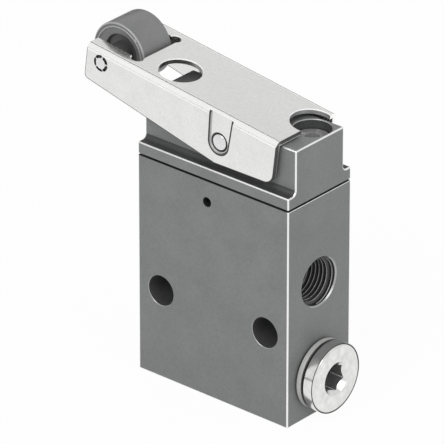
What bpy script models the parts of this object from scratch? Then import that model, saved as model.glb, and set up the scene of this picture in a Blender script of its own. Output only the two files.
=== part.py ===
"""Roller lever air valve: a ported block, an actuator head, and a stamped lever that carries a roller.

Metres, +Z up. The origin is the centre of the body's underside. The lever reaches out to -X, the plugged
port faces +X and the front face with the vent looks along -Y.
"""

import math

import bmesh
import bpy
from mathutils import Matrix, Vector

for old in list(bpy.data.objects):
    bpy.data.objects.remove(old)

# Clearances and roundness
GAP = 0.0003
FIT = 0.00025
OVERRUN = 0.001
MERGE = 0.000001
SHARP_ANGLE = math.radians(32)
STEPS = 32
INNER_STEPS = 20
SMALL_STEPS = 16
SEAL_STEPS = 6

# Valve body
BODY_WIDTH = 0.0370
BODY_DEPTH = 0.0180
BODY_HEIGHT = 0.0455
EDGE_CHAMFER = 0.0003
MOUNTING_HOLE_INSET = 0.0056
MOUNTING_HOLE_RISE = 0.000425
MOUNTING_HOLE_RADIUS = 0.0029
VENT_X = -0.00135
VENT_DROP = 0.0043
VENT_RADIUS = 0.0010

# Threaded ports, two on each end face
PORT_RADIUS = 0.00486
PORT_DEPTH = 0.0090
LOWER_PORT_Z = 0.0086
UPPER_PORT_RISE = 0.00195
PORT_DRILL_RADIUS = 0.0013
PORT_DRILL_OFFSET = 0.0026
SUPPLY_DRILL_RADIUS = 0.0024

# Stepped bore through the middle of the body
VALVE_BORE_RADIUS = 0.0049
BORE_FLOOR_Z = 0.0034
PISTON_BORE_RADIUS = 0.0060

# Seam between the body and the head
SEAM = 0.0005
GASKET_THICKNESS = 0.0008
GASKET_INSET = 0.0014
GASKET_CORNER = 0.0016
GASKET_PASSAGE_RADIUS = 0.0026
GASKET_PASSAGE_SHIFT = 0.0019

# Actuator head
HEAD_HEIGHT = 0.0114
HEAD_FLANGE_HEIGHT = 0.0023
HEAD_SHELF = 0.00215
HEAD_FILLET = 0.0010
FILLET_STEPS = 3

# Head screws, one toward the front and one toward the back
SCREW_INSET = 0.0041
SCREW_Y = 0.0026
SCREW_RADIUS = 0.0020
SCREW_WALL = 0.00309
SCREW_HEAD_RADIUS = 0.0035
SCREW_HEAD_HEIGHT = 0.0040
SCREW_HEAD_DEPTH = 0.0018
SCREW_SOCKET_WIDTH = 0.0030
SCREW_SOCKET_DEPTH = 0.0020
SCREW_CHAMFER = 0.0003

# Lever, in its own frame: x runs along the plate, z stands off it, and the pivot is the origin
PIVOT_X = 0.00111
PIVOT_RISE = 0.00821
LEVER_TILT = math.radians(7.1)
SHEET = 0.0010
LEVER_INSET = 0.0004
BEND_RADIUS = 0.0012
BEND_STEPS = 5
PLATE_TOP = 0.00627
LEVER_OVERHANG = 0.01496
TAIL_PAST_NOTCH = 0.00081
FLANGE_TIP_Z = -0.00105
FLANGE_TIP_CORNER = 0.0009
KNEE_X = -0.0005
KNEE_Z = -0.0046
KNEE_CORNER = 0.0010
TAIL_FOOT_Z = -0.00275
TAIL_CORNER = 0.0021
CORNER_STEPS = 4

# Openings in the lever's plate
ROLLER_SLOT_WIDTH = 0.0111
ROLLER_SLOT_CLEARANCE = 0.00065
RELIEF_RADIUS = 0.0012
RELIEF_SET_IN = 0.0002
ACCESS_HOLE_SHIFT = 0.00095
ACCESS_HOLE_RADIUS = 0.0042
NOTCH_RADIUS = 0.0043

# Set-in tongues that carry the pivot pin
TONGUE_WIDTH = 0.0050
TONGUE_STEP = 0.0005
TONGUE_FOOT_Z = -0.0027
PIVOT_PIN_RADIUS = 0.0016
PIN_CHAMFER = 0.0002
PIN_STAND_OUT = 0.0001

# Roller
ROLLER_SET_BACK = 0.00366
ROLLER_Z = 0.00348
ROLLER_RADIUS = 0.0064
ROLLER_WIDTH = 0.0080
ROLLER_OFFSET = 0.0005
ROLLER_CHAMFER = 0.0004
ROLLER_RIM = 0.0011
ROLLER_DISH = 0.0012
ROLLER_HUB_RADIUS = 0.0023
ROLLER_PIN_RADIUS = 0.00145
ROLLER_STEPS = 40

# Plug in the lower port of the right end face
PLUG_COLLAR_RADIUS = 0.0070
PLUG_COLLAR_THICKNESS = 0.0025
PLUG_EDGE_RADIUS = 0.0006
PLUG_SHANK_LENGTH = 0.0060
PLUG_SOCKET_WIDTH = 0.0050
PLUG_SOCKET_DEPTH = 0.0038
PLUG_COUNTERSINK = 0.0005
PLUG_TURN = math.radians(10)
SEALING_RING_THICKNESS = 0.0014
SEALING_RING_RADIUS = 0.0069

# Pilot stage in the head
STEM_TO_SCREW = 0.0079
STEM_RADIUS = 0.0018
STEM_SEAL_SECTION = 0.00055
STEM_SEAL_DROP = 0.0020
PILOT_POCKET_RADIUS = 0.0034
PILOT_POCKET_DEPTH = 0.0060
PILOT_DISC_RADIUS = 0.0027
PILOT_DISC_THICKNESS = 0.0016
PILOT_DISC_CHAMFER = 0.0003
PILOT_SEAT_THICKNESS = 0.0009
PILOT_SEAT_HOLE = 0.0010
PILOT_WIRE = 0.0002
PILOT_COIL_RADIUS = 0.0020
PILOT_TURNS = 3

# Main stage in the body, stacked from the bottom of the bore. Spring and cage take these shares of what the
# other pieces leave of the body's height, and the piston chamber takes the rest
SPRING_SHARE = 0.224
CAGE_SHARE = 0.376
RETURN_WIRE = 0.00035
RETURN_COIL_RADIUS = 0.0031
RETURN_TURNS = 4
COIL_STEPS = 12
POPPET_RADIUS = 0.0043
LOWER_POPPET_THICKNESS = 0.0030
POPPET_SEAL_INNER = 0.00255
POPPET_SEAL_OUTER = 0.00365
POPPET_SEAL_THICKNESS = 0.0010
POPPET_SEAL_STAND_OUT = 0.0003
SEAT_OPENING = 0.0029
SEAT_LIP_HEIGHT = 0.0004
SEAT_LIP_WIDTH = 0.0004
LOWER_SEAT_HEIGHT = 0.0026
UPPER_SEAT_HEIGHT = 0.0022
ORING_SECTION = 0.0004
CAGE_WALL = 0.0012
CAGE_END = 0.0007
CAGE_WINDOW_RADIUS = 0.0021
STROKE = 0.0012
UPPER_POPPET_THICKNESS = 0.0017
GUIDE_BUSH_HEIGHT = 0.0030
SPINDLE_RADIUS = 0.0019
SPINDLE_NECK_RADIUS = 0.0015
RIVET_RADIUS = 0.0020
RIVET_HEIGHT = 0.0006
PISTON_THICKNESS = 0.0022
PISTON_SEAL_SECTION = 0.0005

# Surfaces: colour, roughness and metallic value
ANODISED = ((0.23, 0.24, 0.24, 1), 0.55, 0.6)
NICKEL_SHEET = ((0.80, 0.80, 0.79, 1), 0.28, 1.0)
BRIGHT_NICKEL = ((0.78, 0.78, 0.77, 1), 0.18, 1.0)
GREY_PLASTIC = ((0.16, 0.16, 0.16, 1), 0.50, 0.0)
STEEL = ((0.56, 0.57, 0.58, 1), 0.32, 1.0)
BLACK_STEEL = ((0.05, 0.05, 0.055, 1), 0.42, 0.8)
BRASS = ((0.72, 0.55, 0.26, 1), 0.30, 1.0)
RUBBER = ((0.02, 0.02, 0.02, 1), 0.75, 0.0)
ALUMINIUM = ((0.70, 0.71, 0.72, 1), 0.35, 1.0)


parts = bpy.data.collections.new("roller_lever_air_valve")
cutters = bpy.data.collections.new("cutters")
bpy.context.scene.collection.children.link(parts)
bpy.context.scene.collection.children.link(cutters)
cutters.hide_render = True

TO_X = Matrix.Rotation(math.pi / 2, 4, "Y")
TO_Y = Matrix.Rotation(-math.pi / 2, 4, "X")
TO_MINUS_X = Matrix.Rotation(-math.pi / 2, 4, "Y")
TO_MINUS_Y = Matrix.Rotation(math.pi / 2, 4, "X")
OUTLINE_IN_YZ = Matrix(((0, 0, 1, 0), (1, 0, 0, 0), (0, 1, 0, 0), (0, 0, 0, 1)))
OUTLINE_IN_XZ = Matrix(((1, 0, 0, 0), (0, 0, -1, 0), (0, 1, 0, 0), (0, 0, 0, 1)))


def place(obj, location, turn, parent):
    obj.parent = parent
    obj.matrix_basis = Matrix.Translation(Vector(location)) @ turn
    return obj


def object_of(name, mesh, location=(0, 0, 0), turn=Matrix(), parent=None):
    obj = bpy.data.objects.new(name, mesh)
    parts.objects.link(obj)
    return place(obj, location, turn, parent)


def shaded(mesh):
    mesh.shade_smooth()
    mesh.set_sharp_from_angle(angle=SHARP_ANGLE)
    return mesh


def settle(obj):
    """Applies the modifiers of the object, and shades it smooth between its sharp edges."""
    graph = bpy.context.evaluated_depsgraph_get()
    mesh = bpy.data.meshes.new_from_object(obj.evaluated_get(graph))
    mesh.name = obj.name
    obj.modifiers.clear()
    obj.data = shaded(mesh)
    return obj


def finish(obj, surface):
    colour, roughness, metallic = surface
    settle(obj)
    material = bpy.data.materials.new(obj.name)
    material.use_nodes = True
    shader = material.node_tree.nodes["Principled BSDF"]
    shader.inputs["Base Color"].default_value = colour
    shader.inputs["Roughness"].default_value = roughness
    shader.inputs["Metallic"].default_value = metallic
    obj.data.materials.clear()
    obj.data.materials.append(material)
    return obj


def turned(name, profile, ring=False, steps=STEPS, location=(0, 0, 0), turn=Matrix(), parent=None):
    """Turns (radius, height) points, which run down the outer side, about Z. A ring's profile is closed."""
    shape = bmesh.new()
    points = [shape.verts.new((radius, 0, height)) for radius, height in profile]
    for start, end in zip(points, points[1:] + points[:1] if ring else points[1:]):
        shape.edges.new((start, end))
    mesh = bpy.data.meshes.new(name)
    shape.to_mesh(mesh)
    shape.free()
    obj = object_of(name, mesh, location, turn, parent)
    screw = obj.modifiers.new("Turn", "SCREW")
    screw.steps = steps
    screw.render_steps = steps
    screw.use_merge_vertices = True
    screw.merge_threshold = MERGE
    return obj


def rod(name, radius, bottom, top, chamfer=0, **where):
    profile = [(0, top), (radius - chamfer, top), (radius, top - chamfer)]
    profile += [(radius, bottom + chamfer), (radius - chamfer, bottom), (0, bottom)]
    if not chamfer:
        profile = [(0, top), (radius, top), (radius, bottom), (0, bottom)]
    return turned(name, profile, **where)


def ring(name, inner, outer, bottom, top, **where):
    return turned(name, [(outer, top), (outer, bottom), (inner, bottom), (inner, top)], ring=True, **where)


def mesh_from_curve(name, curve, location, turn, parent):
    """A curve takes no Boolean, so its evaluated shape becomes a mesh with its caps welded."""
    guide = bpy.data.objects.new(name, curve)
    bpy.context.scene.collection.objects.link(guide)
    graph = bpy.context.evaluated_depsgraph_get()
    mesh = bpy.data.meshes.new_from_object(guide.evaluated_get(graph))
    bpy.data.objects.remove(guide)
    welded = bmesh.new()
    welded.from_mesh(mesh)
    bmesh.ops.remove_doubles(welded, verts=welded.verts, dist=MERGE)
    bmesh.ops.recalc_face_normals(welded, faces=welded.faces)
    welded.to_mesh(mesh)
    welded.free()
    return object_of(name, mesh, location, turn, parent)


def plate(name, outline, thickness, location=(0, 0, 0), turn=Matrix(), parent=None):
    """A flat outline, extruded by its thickness about its own plane."""
    curve = bpy.data.curves.new(name, "CURVE")
    curve.dimensions = "2D"
    curve.fill_mode = "BOTH"
    curve.extrude = thickness / 2
    line = curve.splines.new("POLY")
    line.points.add(len(outline) - 1)
    for point, (x, y) in zip(line.points, outline):
        point.co = (x, y, 0, 1)
    line.use_cyclic_u = True
    return mesh_from_curve(name, curve, location, turn, parent)


def coil(name, radius, wire, bottom, top, turns, location):
    """A wound wire whose section stays between the two heights."""
    curve = bpy.data.curves.new(name, "CURVE")
    curve.dimensions = "3D"
    curve.bevel_depth = wire
    curve.bevel_resolution = 2
    curve.use_fill_caps = True
    line = curve.splines.new("POLY")
    count = turns * COIL_STEPS
    line.points.add(count)
    for number, point in enumerate(line.points):
        angle = 2 * math.pi * number / COIL_STEPS
        height = bottom + wire + (top - bottom - 2 * wire) * number / count
        point.co = (radius * math.cos(angle), radius * math.sin(angle), height, 1)
    return mesh_from_curve(name, curve, location, Matrix(), None)


def box(name, size, centre, parent=None):
    shape = bmesh.new()
    bmesh.ops.create_cube(shape, size=1, matrix=Matrix.Diagonal((*size, 1)))
    mesh = bpy.data.meshes.new(name)
    shape.to_mesh(mesh)
    shape.free()
    return object_of(name, mesh, centre, Matrix(), parent)


def hexagon(name, width, depth, location, turn):
    """A hexagonal prism, measured across its flats, that ends at its location and runs down from there."""
    corner = width / math.sqrt(3)
    shape = bmesh.new()
    height = depth + OVERRUN
    bmesh.ops.create_cone(shape, cap_ends=True, segments=6, radius1=corner, radius2=corner, depth=height)
    bmesh.ops.translate(shape, verts=shape.verts, vec=(0, 0, (OVERRUN - depth) / 2))
    mesh = bpy.data.meshes.new(name)
    shape.to_mesh(mesh)
    shape.free()
    return object_of(name, mesh, location, turn)


def torus(name, radius, section, location):
    """A sealing ring of round section, turned like the pieces that it seals."""
    angles = [-2 * math.pi * number / SEAL_STEPS for number in range(SEAL_STEPS)]
    profile = [(radius + section * math.cos(angle), section * math.sin(angle)) for angle in angles]
    return turned(name, profile, ring=True, steps=INNER_STEPS, location=location)


def combine(obj, other, operation):
    """Cuts, joins or intersects with a helper, which then goes to the cutters."""
    modifier = obj.modifiers.new(other.name, "BOOLEAN")
    modifier.operation = operation
    modifier.solver = "EXACT"
    modifier.object = other
    parts.objects.unlink(other)
    cutters.objects.link(other)
    other.hide_render = True
    other.display_type = "WIRE"


def cut(obj, *others):
    for other in others:
        combine(obj, other, "DIFFERENCE")


def bevel(obj, width, segments=1):
    modifier = obj.modifiers.new("Edges", "BEVEL")
    modifier.width = width
    modifier.segments = segments
    modifier.limit_method = "ANGLE"
    modifier.angle_limit = math.radians(50)


def arc(centre, radius, start, end, steps):
    """Points along an arc, from one angle to the other in radians."""
    angles = [start + (end - start) * step / steps for step in range(steps + 1)]
    return [(centre[0] + radius * math.cos(angle), centre[1] + radius * math.sin(angle)) for angle in angles]


def rounded(points, steps=CORNER_STEPS):
    """An outline through (x, y, radius) corners, each rounded by an arc that touches both of its sides."""
    outline = []
    for number, (x, y, radius) in enumerate(points):
        corner = Vector((x, y))
        before = (Vector(points[number - 1][:2]) - corner).normalized()
        after = (Vector(points[(number + 1) % len(points)][:2]) - corner).normalized()
        if not radius:
            outline.append((x, y))
            continue
        half = before.angle(after) / 2
        centre = corner + (before + after).normalized() * radius / math.sin(half)
        start = corner + before * radius / math.tan(half) - centre
        end = corner + after * radius / math.tan(half) - centre
        sweep = start.angle_signed(end)
        for step in range(steps + 1):
            outline.append(tuple(centre + Matrix.Rotation(-sweep * step / steps, 2) @ start))
    return outline


# Heights and depths that several pieces share
head_bottom = BODY_HEIGHT + SEAM
head_top = head_bottom + HEAD_HEIGHT
gasket_bottom = head_bottom - FIT - GASKET_THICKNESS
front = -BODY_DEPTH / 2
right_end = BODY_WIDTH / 2
port_floor = right_end - PORT_DEPTH
screw_seat = head_top - SCREW_HEAD_DEPTH - SCREW_HEAD_HEIGHT
screw_x = right_end - SCREW_INSET
screws = {"head_screw_left": (-screw_x, -SCREW_Y), "head_screw_right": (screw_x, SCREW_Y)}
screw_hole = SCREW_RADIUS + FIT
stem_x = STEM_TO_SCREW - screw_x
pivot_z = head_bottom + PIVOT_RISE

# Stack of the main stage
lower_set = LOWER_POPPET_THICKNESS + POPPET_SEAL_STAND_OUT + SEAT_LIP_HEIGHT + LOWER_SEAT_HEIGHT
upper_set = UPPER_SEAT_HEIGHT + SEAT_LIP_HEIGHT + STROKE + POPPET_SEAL_STAND_OUT + UPPER_POPPET_THICKNESS
clearances = 8 * FIT
spare_height = BODY_HEIGHT - BORE_FLOOR_Z - lower_set - upper_set - GUIDE_BUSH_HEIGHT - clearances
spring_bottom = BORE_FLOOR_Z + FIT
spring_top = spring_bottom + SPRING_SHARE * spare_height
lower_poppet_bottom = spring_top + FIT
lower_poppet_top = lower_poppet_bottom + LOWER_POPPET_THICKNESS
lower_seal_top = lower_poppet_top + POPPET_SEAL_STAND_OUT
lower_seat_bottom = lower_seal_top + FIT + SEAT_LIP_HEIGHT
lower_seat_top = lower_seat_bottom + LOWER_SEAT_HEIGHT
cage_bottom = lower_seat_top + FIT
cage_top = cage_bottom + CAGE_SHARE * spare_height
upper_seat_bottom = cage_top + FIT
upper_seat_top = upper_seat_bottom + UPPER_SEAT_HEIGHT
upper_seal_bottom = upper_seat_top + SEAT_LIP_HEIGHT + STROKE + FIT
upper_poppet_bottom = upper_seal_bottom + POPPET_SEAL_STAND_OUT
upper_poppet_top = upper_poppet_bottom + UPPER_POPPET_THICKNESS
bush_bottom = upper_poppet_top + FIT
bush_top = bush_bottom + GUIDE_BUSH_HEIGHT
chamber_floor = bush_top + FIT
rivet_top = gasket_bottom - FIT
rivet_bottom = rivet_top - RIVET_HEIGHT
piston_top = rivet_bottom - FIT
piston_bottom = piston_top - PISTON_THICKNESS
seal_groove_depth = POPPET_SEAL_THICKNESS + FIT - POPPET_SEAL_STAND_OUT
groove_inner = POPPET_SEAL_INNER - FIT
groove_outer = POPPET_SEAL_OUTER + FIT
neck_bore = SPINDLE_NECK_RADIUS + FIT
inner_radius = VALVE_BORE_RADIUS - FIT

# Cross holes and screws keep clear of the ports, and the upper ports stay at the cage's end
upper_port_z = cage_top + UPPER_PORT_RISE
mounting_hole_z = (LOWER_PORT_Z + upper_port_z) / 2 + MOUNTING_HOLE_RISE
screw_end = upper_port_z + PORT_RADIUS + SCREW_WALL

# Valve body: a block with a stepped bore, four ports and two cross holes
body = box("valve_body", (BODY_WIDTH, BODY_DEPTH, BODY_HEIGHT), (0, 0, BODY_HEIGHT / 2))
bevel(body, EDGE_CHAMFER)
recess_floor = gasket_bottom - FIT
bore = [(0, BODY_HEIGHT + OVERRUN), (PISTON_BORE_RADIUS, BODY_HEIGHT + OVERRUN)]
bore += [(PISTON_BORE_RADIUS, chamber_floor), (VALVE_BORE_RADIUS, chamber_floor)]
bore += [(VALVE_BORE_RADIUS, BORE_FLOOR_Z), (0, BORE_FLOOR_Z)]
cut(body, turned("bore_cutter", bore, steps=INNER_STEPS))


def gasket_outline(inset):
    half_width = BODY_WIDTH / 2 - inset
    half_depth = BODY_DEPTH / 2 - inset
    radius = GASKET_CORNER - inset + GASKET_INSET
    rear = [(half_width, half_depth, radius), (-half_width, half_depth, radius)]
    return rounded(rear + [(-x, -y, corner) for x, y, corner in rear])


recess_depth = BODY_HEIGHT - recess_floor + OVERRUN
recess_centre = (0, 0, recess_floor + recess_depth / 2)
cut(body, plate("recess_cutter", gasket_outline(GASKET_INSET - FIT), recess_depth, recess_centre))


def port_profile(drill_radius):
    """A port seen from its face at height zero, with its drill on the same axis if it has one."""
    points = [(0, OVERRUN), (PORT_RADIUS, OVERRUN), (PORT_RADIUS, -PORT_DEPTH)]
    if drill_radius:
        return points + [(drill_radius, -PORT_DEPTH), (drill_radius, -right_end), (0, -right_end)]
    return points + [(0, -PORT_DEPTH)]


# The lower ports open into the bore on their own axis, the upper ones through drills below or above it
for side, turn, name in ((1, TO_X, "right"), (-1, TO_MINUS_X, "left")):
    lower_place = (side * right_end, 0, LOWER_PORT_Z)
    upper_place = (side * right_end, 0, upper_port_z)
    supply = port_profile(SUPPLY_DRILL_RADIUS)
    for level, profile, centre in (("lower", supply, lower_place), ("upper", port_profile(0), upper_place)):
        port = turned(f"{name}_{level}_port_cutter", profile, location=centre, turn=turn, steps=INNER_STEPS)
        cut(body, port)
    start = port_floor + OVERRUN
    cut(body, rod(
        f"{name}_upper_drill", PORT_DRILL_RADIUS, -start, 0,
        location=(side * start, 0, upper_port_z - side * PORT_DRILL_OFFSET), turn=turn, steps=SMALL_STEPS,
    ))

hole_reach = BODY_DEPTH / 2 + OVERRUN
for side, name in ((-1, "left"), (1, "right")):
    centre = (side * (right_end - MOUNTING_HOLE_INSET), 0, mounting_hole_z)
    cut(body, rod(
        f"{name}_mounting_hole_cutter", MOUNTING_HOLE_RADIUS, -hole_reach, hole_reach,
        location=centre, turn=TO_Y, steps=SMALL_STEPS,
    ))

vent_start = (VENT_X, front, BODY_HEIGHT - VENT_DROP)
vent_length = BODY_DEPTH / 2 - PISTON_BORE_RADIUS + OVERRUN
cut(body, rod(
    "vent_cutter", VENT_RADIUS, -vent_length, OVERRUN,
    location=vent_start, turn=TO_MINUS_Y, steps=SMALL_STEPS,
))
tapped_floor = screw_end - GAP
tapped_top = BODY_HEIGHT + OVERRUN
for name, (x, y) in screws.items():
    hole_name = f"{name}_tapped_hole"
    cut(body, rod(hole_name, screw_hole, tapped_floor, tapped_top, location=(x, y, 0), steps=SMALL_STEPS))
finish(body, ANODISED)

# Gasket in the shallow recess of the body
gasket_middle = gasket_bottom + GASKET_THICKNESS / 2
gasket = plate("head_gasket", gasket_outline(GASKET_INSET), GASKET_THICKNESS, (0, 0, gasket_middle))
gasket_low = gasket_bottom - OVERRUN
gasket_high = gasket_bottom + GASKET_THICKNESS + OVERRUN
passage_place = (stem_x + GASKET_PASSAGE_SHIFT, 0, 0)
cut(gasket, rod("gasket_passage", GASKET_PASSAGE_RADIUS, gasket_low, gasket_high, location=passage_place))
gasket_hole = screw_hole + FIT
for name, (x, y) in screws.items():
    hole_name = f"gasket_{name}_hole"
    cut(gasket, rod(hole_name, gasket_hole, gasket_low, gasket_high, location=(x, y, 0), steps=SMALL_STEPS))
finish(gasket, RUBBER)


def head_outline():
    """The head's end view, as (y, z) points: one half from the top down, mirrored to the other side."""
    half_block = BODY_DEPTH / 2 - HEAD_SHELF
    shelf = head_bottom + HEAD_FLANGE_HEIGHT
    fillet_centre = (half_block + HEAD_FILLET, shelf + HEAD_FILLET)
    fillet = arc(fillet_centre, HEAD_FILLET, math.pi, 1.5 * math.pi, FILLET_STEPS)
    side = [(half_block, head_top), *fillet, (BODY_DEPTH / 2, shelf), (BODY_DEPTH / 2, head_bottom)]
    return side + [(-y, z) for y, z in reversed(side)]


# Actuator head: a flange with a narrower block on it, bored for the pivot, the stem and its two screws
head = plate("actuator_head", head_outline(), BODY_WIDTH, (0, 0, 0), OUTLINE_IN_YZ)
bevel(head, EDGE_CHAMFER)
counterbore = SCREW_HEAD_RADIUS + FIT
for name, (x, y) in screws.items():
    profile = [(0, head_top + OVERRUN), (counterbore, head_top + OVERRUN)]
    profile += [(counterbore, screw_seat - FIT), (screw_hole, screw_seat - FIT)]
    profile += [(screw_hole, head_bottom - OVERRUN), (0, head_bottom - OVERRUN)]
    cut(head, turned(f"{name}_counterbore", profile, location=(x, y, 0)))
cut(head, rod(
    "pivot_hole", PIVOT_PIN_RADIUS + FIT, front, -front,
    location=(PIVOT_X, 0, pivot_z), turn=TO_Y, steps=SMALL_STEPS,
))
pocket_top = head_bottom + PILOT_POCKET_DEPTH
guide = STEM_RADIUS + FIT
seal_ring_radius = STEM_RADIUS + FIT + STEM_SEAL_SECTION
seal_pocket = seal_ring_radius + STEM_SEAL_SECTION + FIT
seal_half = STEM_SEAL_SECTION + FIT
stem_place = (stem_x, 0, 0)
stem_seal_z = head_top - STEM_SEAL_DROP
bore = [(0, head_top + OVERRUN), (guide, head_top + OVERRUN), (guide, stem_seal_z + seal_half)]
bore += [(seal_pocket, stem_seal_z + seal_half), (seal_pocket, stem_seal_z - seal_half)]
bore += [(guide, stem_seal_z - seal_half), (guide, pocket_top), (PILOT_POCKET_RADIUS, pocket_top)]
bore += [(PILOT_POCKET_RADIUS, head_bottom - OVERRUN), (0, head_bottom - OVERRUN)]
cut(head, turned("stem_bore", bore, location=stem_place, steps=SMALL_STEPS))
finish(head, ANODISED)

# Head screws, with a hexagon socket
for name, (x, y) in screws.items():
    head_end = screw_seat + SCREW_HEAD_HEIGHT
    profile = [(0, head_end), (SCREW_HEAD_RADIUS - SCREW_CHAMFER, head_end)]
    profile += [(SCREW_HEAD_RADIUS, head_end - SCREW_CHAMFER), (SCREW_HEAD_RADIUS, screw_seat)]
    profile += [(SCREW_RADIUS, screw_seat), (SCREW_RADIUS, screw_end + SCREW_CHAMFER)]
    profile += [(SCREW_RADIUS - SCREW_CHAMFER, screw_end), (0, screw_end)]
    screw = turned(name, profile, location=(x, y, 0), steps=SMALL_STEPS)
    cut(screw, hexagon(f"{name}_socket", SCREW_SOCKET_WIDTH, SCREW_SOCKET_DEPTH, (x, y, head_end), Matrix()))
    finish(screw, BLACK_STEEL)

# The lever and all that rides on it hang on this empty, which lies on the pivot
pivot = bpy.data.objects.new("lever_pivot", None)
parts.objects.link(pivot)
place(pivot, (PIVOT_X, 0, pivot_z), Matrix.Rotation(LEVER_TILT, 4, "Y"), None)
half_width = BODY_DEPTH / 2 - LEVER_INSET
plate_bottom = PLATE_TOP - SHEET
plate_middle = PLATE_TOP - SHEET / 2


def along_lever(x, height):
    """Where a place on the head lies along the lever, at a height in the lever's frame."""
    return (x - PIVOT_X - height * math.sin(LEVER_TILT)) / math.cos(LEVER_TILT)


tip_x = -right_end - LEVER_OVERHANG
notch_x = along_lever(screw_x, plate_middle)
tail_x = notch_x + TAIL_PAST_NOTCH
roller_x = tip_x + ROLLER_SET_BACK
flange_low = KNEE_Z - OVERRUN


def channel_outline():
    """The stamped channel's section, as (y, z) points: down the outside, and back up the inside."""
    inner = half_width - SHEET
    inner_bend = BEND_RADIUS - SHEET
    outer_centre = (half_width - BEND_RADIUS, PLATE_TOP - BEND_RADIUS)
    inner_centre = (inner - inner_bend, plate_bottom - inner_bend)
    outer_arc = arc(outer_centre, BEND_RADIUS, math.pi / 2, 0, BEND_STEPS)
    inner_arc = arc(inner_centre, inner_bend, 0, math.pi / 2, BEND_STEPS)
    right = [*outer_arc, (half_width, flange_low), (inner, flange_low), *inner_arc]
    return right + [(-y, z) for y, z in reversed(right)]


def lever_side():
    """The lever's side view, as (x, z, corner radius) points."""
    high = PLATE_TOP + OVERRUN
    corners = [(tip_x, high, 0), (tail_x, high, 0), (tail_x, TAIL_FOOT_Z, TAIL_CORNER)]
    corners += [(KNEE_X, KNEE_Z, KNEE_CORNER), (tip_x, FLANGE_TIP_Z, FLANGE_TIP_CORNER)]
    return rounded(corners)


# Lever: a stamped channel, trimmed to its side view, with its openings cut and its tongues set in
lever_length = tail_x - tip_x + 2 * OVERRUN
lever_middle = (tail_x + tip_x) / 2
lever = plate("roller_lever", channel_outline(), lever_length, (lever_middle, 0, 0), OUTLINE_IN_YZ, pivot)
side_view = plate("lever_side_view", lever_side(), BODY_DEPTH, (0, 0, 0), OUTLINE_IN_XZ, pivot)
combine(lever, side_view, "INTERSECT")

tongue_half = TONGUE_WIDTH / 2
tongue_centre_z = TONGUE_FOOT_Z + tongue_half
round_foot = arc((0, tongue_centre_z), tongue_half, math.pi, 2 * math.pi, 2 * CORNER_STEPS)
boss_top = plate_bottom + SHEET / 2
pocket_mouth = PLATE_TOP + OVERRUN
for side, name in ((-1, "front"), (1, "rear")):
    boss_outline = [(-tongue_half, boss_top), *round_foot, (tongue_half, boss_top)]
    inner_face = side * (half_width - SHEET)
    boss_depth = TONGUE_STEP + SHEET / 2
    boss_y = inner_face + side * (boss_depth / 2 - TONGUE_STEP)
    boss = plate(f"{name}_tongue_boss", boss_outline, boss_depth, (0, boss_y, 0), OUTLINE_IN_XZ, pivot)
    combine(lever, boss, "UNION")
    pocket_outline = [(-tongue_half, pocket_mouth), *round_foot, (tongue_half, pocket_mouth)]
    pocket_depth = TONGUE_STEP + OVERRUN
    pocket_y = side * (half_width - TONGUE_STEP + pocket_depth / 2)
    pocket_place = (0, pocket_y, 0)
    cut(lever, plate(f"{name}_tongue_pocket", pocket_outline, pocket_depth, pocket_place, OUTLINE_IN_XZ, pivot))

slot_half = ROLLER_SLOT_WIDTH / 2
slot_end = roller_x + ROLLER_RADIUS + ROLLER_SLOT_CLEARANCE
through = SHEET + 2 * OVERRUN
slot_centre = (tip_x - OVERRUN + slot_end) / 2
slot_size = (slot_end - tip_x + OVERRUN, ROLLER_SLOT_WIDTH, through)
cut(lever, box("roller_slot", slot_size, (slot_centre, 0, plate_middle), pivot))
relief_x = slot_end - RELIEF_RADIUS + RELIEF_SET_IN
low = plate_middle - through / 2
high = plate_middle + through / 2
for side, name in ((-1, "front"), (1, "rear")):
    relief = (relief_x, side * (slot_half - RELIEF_SET_IN), 0)
    relief_name = f"{name}_relief"
    cut(lever, rod(relief_name, RELIEF_RADIUS, low, high, location=relief, parent=pivot, steps=SMALL_STEPS))
access_place = (along_lever(-screw_x, plate_middle) + ACCESS_HOLE_SHIFT, -SCREW_Y, 0)
cut(lever, rod("access_hole", ACCESS_HOLE_RADIUS, low, high, location=access_place, parent=pivot))
cut(lever, rod("tail_notch", NOTCH_RADIUS, low, high, location=(notch_x, SCREW_Y, 0), parent=pivot))
roller_axis = (roller_x, 0, ROLLER_Z)
reach = half_width + OVERRUN
for name, radius, axis in (("pivot", PIVOT_PIN_RADIUS, (0, 0, 0)), ("roller", ROLLER_PIN_RADIUS, roller_axis)):
    cut(lever, rod(
        f"{name}_pin_hole", radius + FIT, -reach, reach,
        location=axis, turn=TO_Y, parent=pivot, steps=SMALL_STEPS,
    ))
finish(lever, NICKEL_SHEET)

# The two pins, seen end on in the lever's sides
pivot_reach = half_width - TONGUE_STEP + PIN_STAND_OUT
pivot_pin = rod(
    "pivot_pin", PIVOT_PIN_RADIUS, -pivot_reach, pivot_reach, PIN_CHAMFER,
    turn=TO_Y, parent=pivot, steps=SMALL_STEPS,
)
finish(pivot_pin, STEEL)
pin_reach = half_width + PIN_STAND_OUT
roller_pin = rod(
    "roller_pin", ROLLER_PIN_RADIUS, -pin_reach, pin_reach, PIN_CHAMFER,
    location=roller_axis, turn=TO_Y, parent=pivot, steps=SMALL_STEPS,
)
finish(roller_pin, STEEL)


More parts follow.
